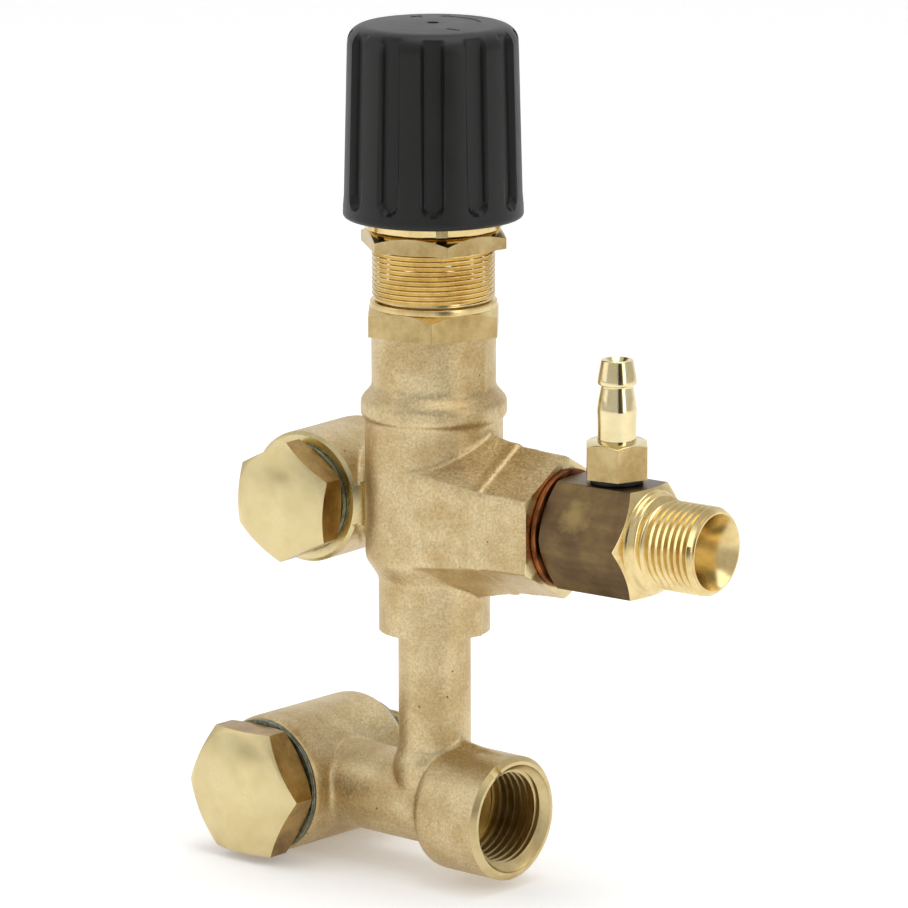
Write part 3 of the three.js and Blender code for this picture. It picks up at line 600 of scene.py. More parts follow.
def build_inlet_casting():
    spin = Matrix.Rotation(LOWER_TURN, 3, "Z")
    tapped = machined_brass("tapped_port_brass", "#e0cd9c", "#c2a970", spin @ Vector((0, 0, port_z)), "X",
        0.3, 0.36,
                            0.01)
    casting = moulded(manifold_shells(), CAST, 0.42, 8)
    port_at, eye_at = (0, 0, port_z), (lower_eye_x, 0, port_z)
    passage = turned([
        (0, lower_eye_x + 3), (6.5, lower_eye_x + 3), (6.5, 6.4), (thread_minor, 6.4),
        (thread_minor, port_end - 2),
        (thread_major + 0.5, port_end - 0.5), (11.2, port_end), (11.9, port_end), (13.8, port_end - 1.7),
        (18, port_end - 1.7), (18, port_end + 3), (0, port_end + 3)], "X", port_at)
    tapping = thread(thread_minor - 0.4, thread_major, 7.2, port_end - 0.6, thread_pitch, "X", port_at)
    tube_cut = turned([
        (0, port_z), (tube_bore, port_z), (tube_bore, tube_top), (tube_radius - 0.5, tube_top),
        (tube_radius, tube_top - 0.5),
        (tube_radius + 3, tube_top - 0.5), (tube_radius + 3, tube_top + 3), (0, tube_top + 3)])
    groove = turned([(0.0, tube_top - 3.9), (12, tube_top - 3.9), (12, tube_top - 1.3), (0, tube_top - 1.3)])
    groove_core = rod(tube_radius - 1.9, tube_top - 5, tube_top)
    bolt_bore = turned([
        (0, lower_eye_front - 3), (17, lower_eye_front - 3), (17, lower_eye_front + 1.3),
        (14.9, lower_eye_front + 1),
        (13.9, lower_eye_front), (bolt_clearance, lower_eye_front), (bolt_clearance, -3), (10, -2), (10, 6),
        (bolt_clearance, 7), (bolt_clearance, lower_eye_back), (13, lower_eye_back),
        (13, lower_eye_back + 2),
        (0, lower_eye_back + 2)], "Y", eye_at)
    ring_cut = combined("DIFFERENCE", as_object(groove, tapped), as_object(groove_core, tapped))
    cutters = [as_object(shape, tapped) for shape in (passage, tapping, tube_cut, bolt_bore)]
    for angle in (27,):
        lean = Matrix.Translation(port_at) @ Matrix.Rotation(math.radians(angle), 4, "X")
        cutters.append(as_object(block((1.8, 2.2, 3.4), (port_end, 0, port_radius - 0.6), lean), tapped))
    casting = combined("DIFFERENCE", casting, ring_cut, *cutters)
    finished(casting, "inlet_casting", "inlet_manifold", ["inlet_manifold"], LOWER_TURN)


build_inlet_casting()

# ---------------------------------------------------------------- banjo bolts and washers
# Hollow bolts turned from hexagon bar: the head's front is faced and chamfered at 30
# degrees, its flats keep the brown skin of drawn bar, and cross holes feed the bore.
# Bonded washers, a steel ring with a dark seal, sit under each head and at the pump.

washer_thickness, seal_thickness, shank_radius, bolt_bore_radius = 1, 1.4, 8.33, 4.5
engagement = 9


def hexagon(across_flats, start, end, phase, material, edge=0.14):
    bm = bmesh.new()
    bmesh.ops.create_circle(bm, cap_ends=True, segments=6, radius=across_flats / math.sqrt(3))
    bm.verts.ensure_lookup_table()
    first = bm.verts[0].co
    turn = Matrix.Rotation(math.radians(phase) - math.atan2(first.y, first.x), 3, "Z")
    bmesh.ops.rotate(bm, verts=bm.verts, cent=(0, 0, 0), matrix=turn)
    bmesh.ops.translate(bm, verts=bm.verts, vec=(0, 0, start))
    top = bmesh.ops.extrude_face_region(bm, geom=bm.faces[:])["geom"]
    bmesh.ops.translate(bm, verts=[v for v in top if isinstance(v, bmesh.types.BMVert)],
        vec=(0, 0, end - start))
    bmesh.ops.recalc_face_normals(bm, faces=bm.faces)
    upright = [e for e in bm.edges if abs(e.verts[0].co.z - e.verts[1].co.z) > (end - start) / 2]
    bmesh.ops.bevel(bm, geom=upright, offset=edge, segments=2, profile=0.5, affect="EDGES", material=-1)
    return as_object(bm, material)


def chamfered_hexagon(across_flats, start, end, phase, skin, faced, low=True, high=True):
    """A hexagon whose corners are turned off at 30 degrees. The turned part is bright."""
    corner = across_flats / math.sqrt(3) + 0.3
    face = across_flats / 2 * 0.955
    drop = (corner - face) * math.tan(math.radians(30))
    profile = [(0, start)]
    profile += [(face, start), (corner, start + drop)] if low else [(corner, start)]
    profile += [(corner, end - drop), (face, end)] if high else [(corner, end)]
    profile.append((0, end))
    bar = hexagon(across_flats, start - 1, end + 1, phase, skin)
    return combined("INTERSECT", bar, as_object(turned(profile), faced))


def laid(shape, axis, at):
    """Lays a finished shape along the named axis."""
    bm = bmesh.new()
    bm.from_mesh(shape.data)
    aimed(bm, axis, at)
    bm.to_mesh(shape.data)
    bm.free()
    return shape


def drawn_bar(name, light, dark):
    """The skin of drawn hexagon bar: brown-gold and glossy, with long draw marks,
    darker tarnish clouds and a few rubbed spots."""
    material, shader = new_material(name, light, 1, 0.3)
    place = add_node(material, "ShaderNodeTexCoord")
    clouds = add_node(material, "ShaderNodeTexNoise", inputs={"Scale": 120, "Detail": 6, "Roughness": 0.68},
                      links=[("Vector", place, "Object")])
    tone = add_node(material, "ShaderNodeValToRGB", links=[("Fac", clouds, "Fac")])
    tone.color_ramp.elements[0].position = 0.32
    tone.color_ramp.elements[0].color = linear(dark)
    tone.color_ramp.elements[1].position = 0.62
    tone.color_ramp.elements[1].color = linear(light)
    material.node_tree.links.new(tone.outputs["Color"], shader.inputs["Base Color"])
    rub = add_node(material, "ShaderNodeMapRange", inputs={"To Min": 0.2, "To Max": 0.42},
                   links=[("Value", clouds, "Fac")])
    material.node_tree.links.new(rub.outputs["Result"], shader.inputs["Roughness"])
    scratch = add_node(material, "ShaderNodeTexNoise", inputs={"Scale": 900, "Detail": 2, "Distortion": 1.5},
                       links=[("Vector", place, "Object")])
    marks = add_node(material, "ShaderNodeBump", inputs={"Strength": 0.25, "Distance": 0.00004},
                     links=[("Height", scratch, "Fac")])
    material.node_tree.links.new(marks.outputs["Normal"], shader.inputs["Normal"])
    return material


def metal_ring_material(name, light, dark, roughness):
    """Plain metal of washers and inner parts, with a fine mottled grain."""
    material, shader = new_material(name, light, 1, roughness)
    place = add_node(material, "ShaderNodeTexCoord")
    clouds = add_node(material, "ShaderNodeTexNoise", inputs={"Scale": 700, "Detail": 4, "Roughness": 0.6},
                      links=[("Vector", place, "Object")])
    tone = add_node(material, "ShaderNodeValToRGB", links=[("Fac", clouds, "Fac")])
    tone.color_ramp.elements[0].position = 0.35
    tone.color_ramp.elements[0].color = linear(dark)
    tone.color_ramp.elements[1].position = 0.6
    tone.color_ramp.elements[1].color = linear(light)
    material.node_tree.links.new(tone.outputs["Color"], shader.inputs["Base Color"])
    rub = add_node(material, "ShaderNodeMapRange",
        inputs={"To Min": roughness * 0.75, "To Max": roughness * 1.25},
                   links=[("Value", clouds, "Fac")])
    material.node_tree.links.new(rub.outputs["Result"], shader.inputs["Roughness"])
    skin = add_node(material, "ShaderNodeBump", inputs={"Strength": 0.2, "Distance": 0.00003},
                    links=[("Height", clouds, "Fac")])
    material.node_tree.links.new(skin.outputs["Normal"], shader.inputs["Normal"])
    return material


BAR = drawn_bar("drawn_hexagon_bar_brass", "#b8975a", "#6e5128")
STEEL = metal_ring_material("zinc_plated_steel", "#95988a", "#62675a", 0.34)


def build_banjo_bolt(name, across_flats, head_height, phase, front, back, at, body, turn):
    centre = Matrix.Rotation(turn, 3, "Z") @ Vector(at)
    faced = machined_brass(name + "_lathe_faced_brass", "#dccb9a", "#cdba86", centre, "Y", 0.22, 0.25, 0.008)
    head_back = front - washer_thickness - 0.2
    head_front = head_back - head_height
    tip = back + seal_thickness + engagement
    middle = (front + back) / 2
    bolt = chamfered_hexagon(across_flats, head_front, head_back, phase, BAR, faced, True, True)
    shank = turned(rounded([
        (0, head_back - 0.5), (shank_radius - 0.4, head_back - 0.5), (shank_radius - 0.4, back - 1),
        (shank_radius - 1.1, back),
        (shank_radius - 1.1, tip), (0, tip)], 0.2))
    screw = combined("INTERSECT",
        as_object(thread(shank_radius - 1.16, shank_radius, back, tip, 1.337), faced),
                     as_object(turned([(0, back), (shank_radius - 1, back), (shank_radius, back + 1),
                     (shank_radius, tip - 1.2),
                                       (shank_radius - 1.2, tip), (0, tip)]), faced))
    bolt = combined("UNION", bolt, as_object(shank, faced), screw)
    bore = as_object(rod(bolt_bore_radius, middle - bolt_bore_radius, tip + 1), faced)
    cross = [as_object(rod(shank_radius * 0.36, -12, 12, "X", (0, 0, middle), 32), faced),
             as_object(rod(shank_radius * 0.36, -12, 12, "Y", (0, 0, middle), 32), faced)]
    bolt = laid(combined("DIFFERENCE", bolt, bore, *cross), "Y", at)
    finished(bolt, name, body, [name], turn)


def build_washer(name, outer, start, thickness, at, body, turn):
    inner, half = shank_radius + 0.1, thickness / 2
    washer = turned(rounded([
        (inner, start + half), (inner, start), (outer, start), (outer, start + half * 0.8),
        (outer - 0.35, start + half),
        (outer, start + half * 1.2), (outer, start + thickness), (inner, start + thickness),
        (inner, start + half)], 0.12),
        "Y", at)
    finished(as_object(washer, STEEL), name, body, [name], turn)


UPPER_AT, LOWER_AT = (eye_x, 0, 0), (lower_eye_x, 0, port_z)
build_banjo_bolt("upper_banjo_bolt", 22, 6.8, -26, eye_front, eye_back, UPPER_AT, "valve", 0)
build_banjo_bolt("lower_banjo_bolt", 26, 7.6, 0, lower_eye_front, lower_eye_back, LOWER_AT, "inlet_manifold",
    LOWER_TURN)
build_washer("upper_bolt_washer", 11.2, eye_front - 1.1, washer_thickness, UPPER_AT, "valve", 0)
build_washer("upper_pump_washer", 11.6, eye_back + 0.1, seal_thickness, UPPER_AT, "valve", 0)
build_washer("lower_bolt_washer", 13.8, lower_eye_front - 1.1, washer_thickness, LOWER_AT, "inlet_manifold",
    LOWER_TURN)
build_washer("lower_pump_washer", 12.4, lower_eye_back + 0.1, seal_thickness, LOWER_AT, "inlet_manifold",
    LOWER_TURN)

# ---------------------------------------------------------------- bonnet and stop nut
# The bonnet screws into the neck and carries the fine M25 x 1 thread that the knob
# climbs on. The thin stop nut sets how far down the knob can go. Both are hexagon bar
# with bright turned threads.

BONNET_BOTTOM, BONNET_TOP = extent("bonnet")[0].z, extent("bonnet")[1].z
bonnet_flats, bonnet_hex_top, bonnet_thread = 26, 42, 12.5
NUT_BOTTOM, NUT_TOP = extent("stop_nut")[0].z, extent("stop_nut")[1].z
FACED = machined_brass("bright_turned_brass", "#e6d09a", "#c4a668", (0, 0, 0), "Z", 0.3, 0.2, 0.008)
YELLOW_BAR = drawn_bar("bright_hexagon_bar_brass", "#cdb684", "#a08652")


def build_bonnet():
    bonnet = chamfered_hexagon(bonnet_flats, neck_top + 0.1, bonnet_hex_top, 5.6, YELLOW_BAR, FACED, False,
        True)
    sleeve = turned(rounded([
        (0, BONNET_BOTTOM), (8.6, BONNET_BOTTOM), (8.6, 14.8), (7, 14.8), (7, 17.2), (8.6, 17.2), (8.6, 24),
        (10.8, 24),
        (10.8, 40), (12.9, 40), (12.9, bonnet_hex_top + 0.9), (11.7, bonnet_hex_top + 1.1),
        (11.7, bonnet_hex_top + 3),
        (0, bonnet_hex_top + 3)], 0.25))
    start = bonnet_hex_top + 1.4
    screw = thread(bonnet_thread - 0.62, bonnet_thread, start, BONNET_TOP, 1)
    envelope = turned([
        (0, start), (bonnet_thread - 0.6, start), (bonnet_thread, start + 0.6),
        (bonnet_thread, BONNET_TOP - 1),
        (bonnet_thread - 1, BONNET_TOP), (0, BONNET_TOP)])
    screw = combined("INTERSECT", as_object(screw, FACED), as_object(envelope, FACED))
    bonnet = combined("UNION", bonnet, as_object(sleeve, FACED), screw)
    inside = turned([
        (0, BONNET_BOTTOM - 1), (6.1, BONNET_BOTTOM - 1), (6.1, 23.9), (8.2, 23.9), (8.2, BONNET_TOP + 1),
        (0, BONNET_TOP + 1)])
    finished(combined("DIFFERENCE", bonnet, as_object(inside, FACED)), "bonnet", "valve", ["bonnet"])


def build_stop_nut():
    nut = chamfered_hexagon(27, NUT_BOTTOM, NUT_TOP, 18, YELLOW_BAR, FACED, False, True)
    hole = turned([
        (0, NUT_BOTTOM - 1), (13.6, NUT_BOTTOM - 1), (12.7, NUT_BOTTOM + 0.3), (12.7, NUT_TOP - 0.3),
        (13.6, NUT_TOP + 1), (0, NUT_TOP + 1)])
    nut = combined("DIFFERENCE", nut, as_object(hole, FACED))
    finished(nut, "stop_nut", "stop_nut", ["stop_nut"])


build_bonnet()
build_stop_nut()

# ---------------------------------------------------------------- knob
# Glass-filled nylon, moulded round a brass threaded cup. Twelve finger grooves with
# round feet run up into the soft shoulder. The top has a blind hole and plain marks
# for opening and closing.

KNOB_LOW, KNOB_HIGH = extent("knob")
INSERT_LOW, INSERT_HIGH = extent("knob_insert")
knob_bottom, knob_top = KNOB_LOW.z, KNOB_HIGH.z
knob_radius = (KNOB_HIGH.x - KNOB_LOW.x) / 2
knob_top_radius, shoulder, groove_count, groove_width, groove_depth = knob_radius - 0.9, 4.1, 12, 4.2, 1.3
insert_radius = 14


def black_nylon():
    """Black glass-filled nylon: dark grey with a fine spark-eroded texture and soft sheen."""
    material, shader = new_material("black_glass_filled_nylon", "#121211", 0, 0.42, IOR=1.53,
        Specular_IOR_Level=0.32)
    place = add_node(material, "ShaderNodeTexCoord")
    clouds = add_node(material, "ShaderNodeTexNoise", inputs={"Scale": 90, "Detail": 5, "Roughness": 0.6},
                      links=[("Vector", place, "Object")])
    tone = add_node(material, "ShaderNodeValToRGB", links=[("Fac", clouds, "Fac")])
    tone.color_ramp.elements[0].color = linear("#0d0d0c")
    tone.color_ramp.elements[1].color = linear("#191917")
    material.node_tree.links.new(tone.outputs["Color"], shader.inputs["Base Color"])
    rub = add_node(material, "ShaderNodeMapRange", inputs={"To Min": 0.32, "To Max": 0.52},
                   links=[("Value", clouds, "Fac")])
    material.node_tree.links.new(rub.outputs["Result"], shader.inputs["Roughness"])
    sparks = add_node(material, "ShaderNodeTexNoise", inputs={"Scale": 2600, "Detail": 2},
                      links=[("Vector", place, "Object")])
    waves = add_node(material, "ShaderNodeTexNoise", inputs={"Scale": 160, "Detail": 2},
                     links=[("Vector", place, "Object")])
    sink = add_node(material, "ShaderNodeBump", inputs={"Strength": 0.3, "Distance": 0.0002},
                    links=[("Height", waves, "Fac")])
    grain = add_node(material, "ShaderNodeBump", inputs={"Strength": 0.35, "Distance": 0.00004},
                     links=[("Height", sparks, "Fac"), ("Normal", sink, "Normal")])
    material.node_tree.links.new(grain.outputs["Normal"], shader.inputs["Normal"])
    return material


NYLON = black_nylon()


def smooth_step(value):
    value = min(1, max(0, value))
    return value * value * (3 - 2 * value)


def knob_profile():
    """Inside up, over the top, and down the outside in close rows."""
    profile = [(0, knob_top - 4.3), (insert_radius - 2, knob_top - 4.3),
        (insert_radius - 2, INSERT_HIGH.z + 0.1),
               (insert_radius + 0.1, INSERT_HIGH.z + 0.1), (insert_radius + 0.1, knob_bottom + 0.3),
               (insert_radius + 0.4, knob_bottom)]
    rim = 0.9
    profile.append((knob_radius - rim, knob_bottom))
    for step in range(1, 5):
        angle = step / 4 * math.pi / 2
        profile.append((knob_radius - rim + rim * math.sin(angle),
            knob_bottom + rim - rim * math.cos(angle)))
    rows = 60
    straight_end = knob_top - shoulder
    for row in range(1, rows + 1):
        height = knob_bottom + rim + (straight_end - knob_bottom - rim) * row / rows
        taper = (height - knob_bottom) / (straight_end - knob_bottom)
        profile.append((knob_radius + (knob_top_radius - knob_radius) * taper, height))
    for step in range(1, 13):
        angle = step / 12 * math.pi / 2
        profile.append((knob_top_radius - shoulder + shoulder * math.cos(angle),
                        straight_end + (shoulder - 0.25) * math.sin(angle)))
    crown = knob_top_radius - shoulder
    profile += [(crown * part, knob_top - 0.25 * part * part) for part in (0.8, 0.6, 0.4, 0.2)]
    return profile + [(1.35, knob_top), (1.2, knob_top - 0.15), (1.2, knob_top - 1.6), (0, knob_top - 1.6)]


def press_grooves(bm):
    """Pushes the wall in along each groove, with soft edges and a round foot."""
    foot = knob_bottom + 3 + groove_width / 2
    pitch = 2 * math.pi / groove_count
    first = math.radians(37 - 90)
    for vertex in bm.verts:
        radius = math.hypot(vertex.co.x, vertex.co.y)
        if radius < insert_radius + 1 or vertex.co.z < knob_bottom + 0.5:
            continue
        angle = math.atan2(vertex.co.y, vertex.co.x) - first
        aside = (angle - round(angle / pitch) * pitch) * radius
        below = max(0, foot - vertex.co.z)
        inside = groove_width / 2 - math.hypot(aside, below)
        taper = (vertex.co.z - knob_bottom) / (knob_top - shoulder - knob_bottom)
        floor = knob_radius + (knob_top_radius - knob_radius) * taper - groove_depth
        pushed = radius - smooth_step(inside / 0.5 + 0.5) * max(0, radius - floor)
        vertex.co.x *= pushed / radius
        vertex.co.y *= pushed / radius


def knob_marks():
    """A plus, a minus and a bent arrow, all sunk a quarter of a millimetre."""
    deep = 0.5
    marks = [block((3.2, 0.75, deep), (-8, 5, knob_top)), block((0.75, 3.2, deep), (-8, 5, knob_top)),
             block((3.2, 0.75, deep), (8.5, -4.5, knob_top))]
    sweep = bmesh.new()
    start = Vector((9.4 * math.cos(0.6), 9.4 * math.sin(0.6), knob_top - deep / 2))
    outward = Vector((0.35 * math.cos(0.6), 0.35 * math.sin(0.6), 0))
    lift = Vector((0, 0, deep))
    section = [sweep.verts.new(place) for place in (start - outward, start + outward, start + outward + lift,
                                                    start - outward + lift)]
    face = sweep.faces.new(section)
    bmesh.ops.spin(sweep, geom=section + face.edges[:] + [face], cent=(0, 0, 0), axis=(0, 0, 1), angle=1.3,
        steps=16)
    bmesh.ops.recalc_face_normals(sweep, faces=sweep.faces)
    tip = 0.6 + 1.3
    head = bmesh.new()
    arrow = [(8.1, 0), (10.7, 0), (9.4, 2.2)]
    low = [head.verts.new((x, y, knob_top - deep / 2)) for x, y in arrow]
    raised = bmesh.ops.extrude_face_region(head, geom=[head.faces.new(low)])["geom"]
    bmesh.ops.translate(head, verts=[v for v in raised if isinstance(v, bmesh.types.BMVert)], vec=lift)
    bmesh.ops.rotate(head, verts=head.verts, cent=(0, 0, 0), matrix=Matrix.Rotation(tip - 0.02, 3, "Z"))
    bmesh.ops.recalc_face_normals(head, faces=head.faces)
    return marks + [sweep, head]


def build_knob():
    bm = turned(knob_profile(), steps=360)
    press_grooves(bm)
    knob = combined("DIFFERENCE", as_object(bm, NYLON), *[as_object(mark, NYLON) for mark in knob_marks()])
    finished(knob, "knob", "knob", ["knob"], crease=40)


def build_knob_insert():
    bottom, top = INSERT_LOW.z, INSERT_HIGH.z
    outside = turned(rounded([(0, bottom), (insert_radius, bottom), (insert_radius, top), (0, top)], 0.5))
    cavity = thread(bonnet_thread + 0.12, bonnet_thread + 0.62, bottom - 1, BONNET_TOP + 0.4, 1)
    mouth = turned([(0, bottom - 1), (14.1, bottom - 1), (12.7, bottom + 0.5), (12.7, BONNET_TOP + 0.9),
        (0, BONNET_TOP + 0.9)])
    cutters = [as_object(cavity, FACED), as_object(mouth, FACED)]
    for notch in range(6):
        spin = Matrix.Rotation(notch * math.pi / 3 + 0.25, 4, "Z")
        cutters.append(as_object(block((2.4, 2.4, top - bottom + 2),
            (insert_radius + 0.7, 0, (top + bottom) / 2), spin), FACED))
    insert = combined("DIFFERENCE", as_object(outside, FACED), *cutters)
    finished(insert, "knob_insert", "knob", ["knob_insert"])


build_knob()
build_knob_insert()

# ---------------------------------------------------------------- outlet injector
# The detergent injector: hexagon bar left dark brown from heat, with a bright faced
# end, an M18 x 1.5 thread and a 60 degree cone. A copper ring seals it to the arm, and
# a small polished hose barb screws into its top flat on a dark washer.

INJECTOR_HIGH = extent("venturi_body")[1]
BARB_LOW, BARB_HIGH = extent("hose_barb")
barb_x = (BARB_LOW.x + BARB_HIGH.x) / 2
hex_start, hex_end, venturi_flats, outlet_end = 34.5, 54.8, 22, INJECTOR_HIGH.x
outlet_thread, outlet_pitch, throat, diffuser, mouth = 9, 1.5, 1.6, 3.2, 7.7


def heat_browned_brass():
    """Hexagon bar oxidised brown, purple and olive, with draw lines along it and one
    rubbed yellow patch on the upper front flat."""
    material, shader = new_material("heat_browned_hexagon_brass", "#5c4630", 1, 0.36)
    place = add_node(material, "ShaderNodeTexCoord")
    clouds = add_node(material, "ShaderNodeTexNoise", inputs={"Scale": 75, "Detail": 6, "Roughness": 0.65},
                      links=[("Vector", place, "Object")])
    tone = add_node(material, "ShaderNodeValToRGB", links=[("Fac", clouds, "Fac")])
    tone.color_ramp.elements[0].position = 0.3
    tone.color_ramp.elements[0].color = linear("#56462f")
    tone.color_ramp.elements[1].position = 0.68
    tone.color_ramp.elements[1].color = linear("#85704a")
    purple = tone.color_ramp.elements.new(0.48)
    purple.color = linear("#6a553d")
    stretched = add_node(material, "ShaderNodeMapping", inputs={"Scale": (60, 900, 900)},
                         links=[("Vector", place, "Object")])
    lines = add_node(material, "ShaderNodeTexNoise", inputs={"Scale": 1, "Detail": 3},
                     links=[("Vector", stretched, "Vector")])
    fleck = add_node(material, "ShaderNodeMapRange",
                     inputs={"From Min": 0.3, "From Max": 0.7, "To Min": 0.9, "To Max": 1.1},
                     links=[("Value", lines, "Fac")])
    streaked = scaled_colour(material, tone, "Color", fleck)
    worn_at = (HOME + Vector((42.6, -10.2, 5.4))) * MM
    worn = add_node(material, "ShaderNodeVectorMath", {"operation": "DISTANCE"},
        links=[(0, place, "Object")])
    worn.inputs[1].default_value = worn_at
    ragged = add_node(material, "ShaderNodeTexNoise", inputs={"Scale": 420, "Detail": 4, "Roughness": 0.7},
                      links=[("Vector", place, "Object")])
    spread = add_node(material, "ShaderNodeMath", {"operation": "MULTIPLY_ADD"}, {1: 0.006, 2: -0.003},
                      [(0, ragged, "Fac")])
    edge = add_node(material, "ShaderNodeMath", {"operation": "ADD"},
        links=[(0, worn, "Value"), (1, spread, "Value")])
    patch = add_node(material, "ShaderNodeMapRange",
                     inputs={"From Min": 0.0012, "From Max": 0.0042, "To Min": 0.5, "To Max": 0},
                     links=[("Value", edge, "Value")])
    rubbed = add_node(material, "ShaderNodeMix", {"data_type": "RGBA"},
                      links=[(0, patch, "Result"), (6, streaked, "Vector")])
    rubbed.inputs[7].default_value = linear("#b09a62")
    material.node_tree.links.new(rubbed.outputs[2], shader.inputs["Base Color"])
    rub = add_node(material, "ShaderNodeMapRange", inputs={"To Min": 0.24, "To Max": 0.48},
                   links=[("Value", clouds, "Fac")])
    material.node_tree.links.new(rub.outputs["Result"], shader.inputs["Roughness"])
    drawn = add_node(material, "ShaderNodeBump", inputs={"Strength": 0.3, "Distance": 0.00004},
                     links=[("Height", lines, "Fac")])
    material.node_tree.links.new(drawn.outputs["Normal"], shader.inputs["Normal"])
    return material


def build_injector():
    dark = heat_browned_brass()
    bright = machined_brass("bright_faced_outlet_brass", "#e8d29a", "#c4a566", (0, 0, 0), "X", 0.3, 0.2,
        0.008)
    corner, face = venturi_flats / math.sqrt(3) + 0.3, venturi_flats / 2 * 0.96
    drop = (corner - face) * math.tan(math.radians(30))
    bar = hexagon(venturi_flats, hex_start - 1, hex_end + 1, 30, dark)
    bar = combined("INTERSECT", bar, as_object(turned([
        (0, hex_start), (face, hex_start), (corner, hex_start + drop), (corner, hex_end + 2),
        (0, hex_end + 2)]), dark))
    body = combined("INTERSECT", bar, as_object(turned([
        (0, hex_start - 2), (corner, hex_start - 2), (corner, hex_end - drop), (face, hex_end),
        (0, hex_end)]), bright))
    core = turned(rounded([
        (0, 24), (8, 24), (8, 31), (7.2, 31.3), (7.2, 32.6), (8, 33), (8, hex_start + 5),
        (8.6, hex_start + 6),
        (8.6, hex_end - 3), (10.6, hex_end - 2), (10.6, hex_end), (9.9, hex_end + 0.7), (9.8, 56.8),
        (8.2, 57.4),
        (7.7, 59), (0, 59)], 0.4))
    screw = thread(outlet_thread - 0.92, outlet_thread, 58, outlet_end, outlet_pitch)
    envelope = turned([(0, 58), (8.1, 58), (outlet_thread, 59), (outlet_thread, outlet_end - 1.1),
                       (outlet_thread - 0.95, outlet_end), (0, outlet_end)])
    screw = combined("INTERSECT", as_object(screw, bright), as_object(envelope, bright))
    body = combined("UNION", body, as_object(core, bright), screw)
    cone_start = outlet_end - (mouth - diffuser) / math.tan(math.radians(30))
    bore = turned([(0, 23), (5.2, 23), (5.2, 31.6), (3.1, 31.6), (3.1, 47.5), (throat, 47.5),
        (diffuser, cone_start),
                   (mouth - 0.25, outlet_end - 0.43), (mouth, outlet_end), (mouth, outlet_end + 1),
                   (0, outlet_end + 1)])
    body = laid(combined("DIFFERENCE", body, as_object(bore, bright)), "X", (0, 0, 0))
    suction = turned([(0, 0), (1.3, 0), (1.3, 3.7), (2.5, 3.7), (2.5, 7.95), (4, 7.95), (4, 12), (0, 12)],
        "Z", (barb_x, 0, 0))
    body = combined("DIFFERENCE", body, as_object(suction, bright))
    finished(body, "venturi_body", "valve", ["venturi_body"])


def copper_ring_material():
    """Annealed copper, orange with darker heat stains."""
    material, shader = new_material("annealed_copper", "#9a5a36", 1, 0.42)
    place = add_node(material, "ShaderNodeTexCoord")
    stains = add_node(material, "ShaderNodeTexNoise", inputs={"Scale": 260, "Detail": 4},
                      links=[("Vector", place, "Object")])
    tone = add_node(material, "ShaderNodeValToRGB", links=[("Fac", stains, "Fac")])
    tone.color_ramp.elements[0].position = 0.35
    tone.color_ramp.elements[0].color = linear("#63361f")
    tone.color_ramp.elements[1].position = 0.6
    tone.color_ramp.elements[1].color = linear("#a8683f")
    material.node_tree.links.new(tone.outputs["Color"], shader.inputs["Base Color"])
    return material


def matt_material(name, light, dark, roughness):
    """Rubber and plastic inside: even colour with a faint cloud and a fine moulded skin."""
    material, shader = new_material(name, light, 0, roughness)
    place = add_node(material, "ShaderNodeTexCoord")
    clouds = add_node(material, "ShaderNodeTexNoise", inputs={"Scale": 400, "Detail": 3},
                      links=[("Vector", place, "Object")])
    tone = add_node(material, "ShaderNodeValToRGB", links=[("Fac", clouds, "Fac")])
    tone.color_ramp.elements[0].color = linear(dark)
    tone.color_ramp.elements[1].color = linear(light)
    material.node_tree.links.new(tone.outputs["Color"], shader.inputs["Base Color"])
    skin = add_node(material, "ShaderNodeBump", inputs={"Strength": 0.2, "Distance": 0.00003},
                    links=[("Height", clouds, "Fac")])
    material.node_tree.links.new(skin.outputs["Normal"], shader.inputs["Normal"])
    return material


def build_barb():
    polished = machined_brass("polished_barb_brass", "#efe0b2", "#d8c48f", (barb_x, 0, 0), "Z", 0.4, 0.13,
        0.004)
    low, high = BARB_LOW.z, BARB_HIGH.z
    hex_bottom, hex_top = 12.2, 19.5
    barb = chamfered_hexagon(12, hex_bottom, hex_top, 7, YELLOW_BAR, polished, False, True)
    stem = turned(rounded([
        (0, low), (3.5, low), (3.9, low + 0.4), (3.9, hex_top - 0.5), (3.9, hex_top + 3), (4, hex_top + 6.4),
        (3.7, hex_top + 8.5), (3.25, hex_top + 11), (3.25, hex_top + 11.35), (3.95, hex_top + 11.5),
        (3.95, hex_top + 12.3), (3.2, high), (0, high)], 0.35), steps=64)
    barb = combined("UNION", barb, as_object(stem, polished))
    bore = turned([(0, low - 1), (1.4, low - 1), (1.4, high - 1.2), (2.5, high), (2.5, high + 1),
        (0, high + 1)], steps=48)
    barb = laid(combined("DIFFERENCE", barb, as_object(bore, polished)), "Z", (barb_x, 0, 0))
    finished(barb, "hose_barb", "valve", ["hose_barb"])


COPPER = copper_ring_material()
RUBBER = matt_material("black_nitrile_rubber", "#1d1d1c", "#121211", 0.6)
PTFE = matt_material("white_ptfe", "#e4e2da", "#d3d0c4", 0.45)
ring = turned(rounded([(10, arm_end + 0.12), (12.1, arm_end + 0.12), (12.1, arm_end + 1.25),
    (8.25, arm_end + 1.25),
                       (8.25, arm_end + 0.12), (10, arm_end + 0.12)], 0.3), "X")
finished(as_object(ring, COPPER), "outlet_washer", "valve", ["outlet_washer"])
build_injector()
build_barb()
ring = turned(rounded([(4.8, 11.1), (5.35, 11.1), (5.35, 12.1), (4.05, 12.1), (4.05, 11.1), (4.8, 11.1)],
    0.25),
              "Z", (barb_x, 0, 0), 48)
finished(as_object(ring, RUBBER), "barb_washer", "valve", ["barb_washer"])

# ---------------------------------------------------------------- inner parts
# What the castings hide: the spring with its seat and guide, the piston and ball, the
# by-pass and check valves, and the O-rings. Turned stainless steel, spring wire, nitrile
# rubber and PTFE, each dropped into its bore.


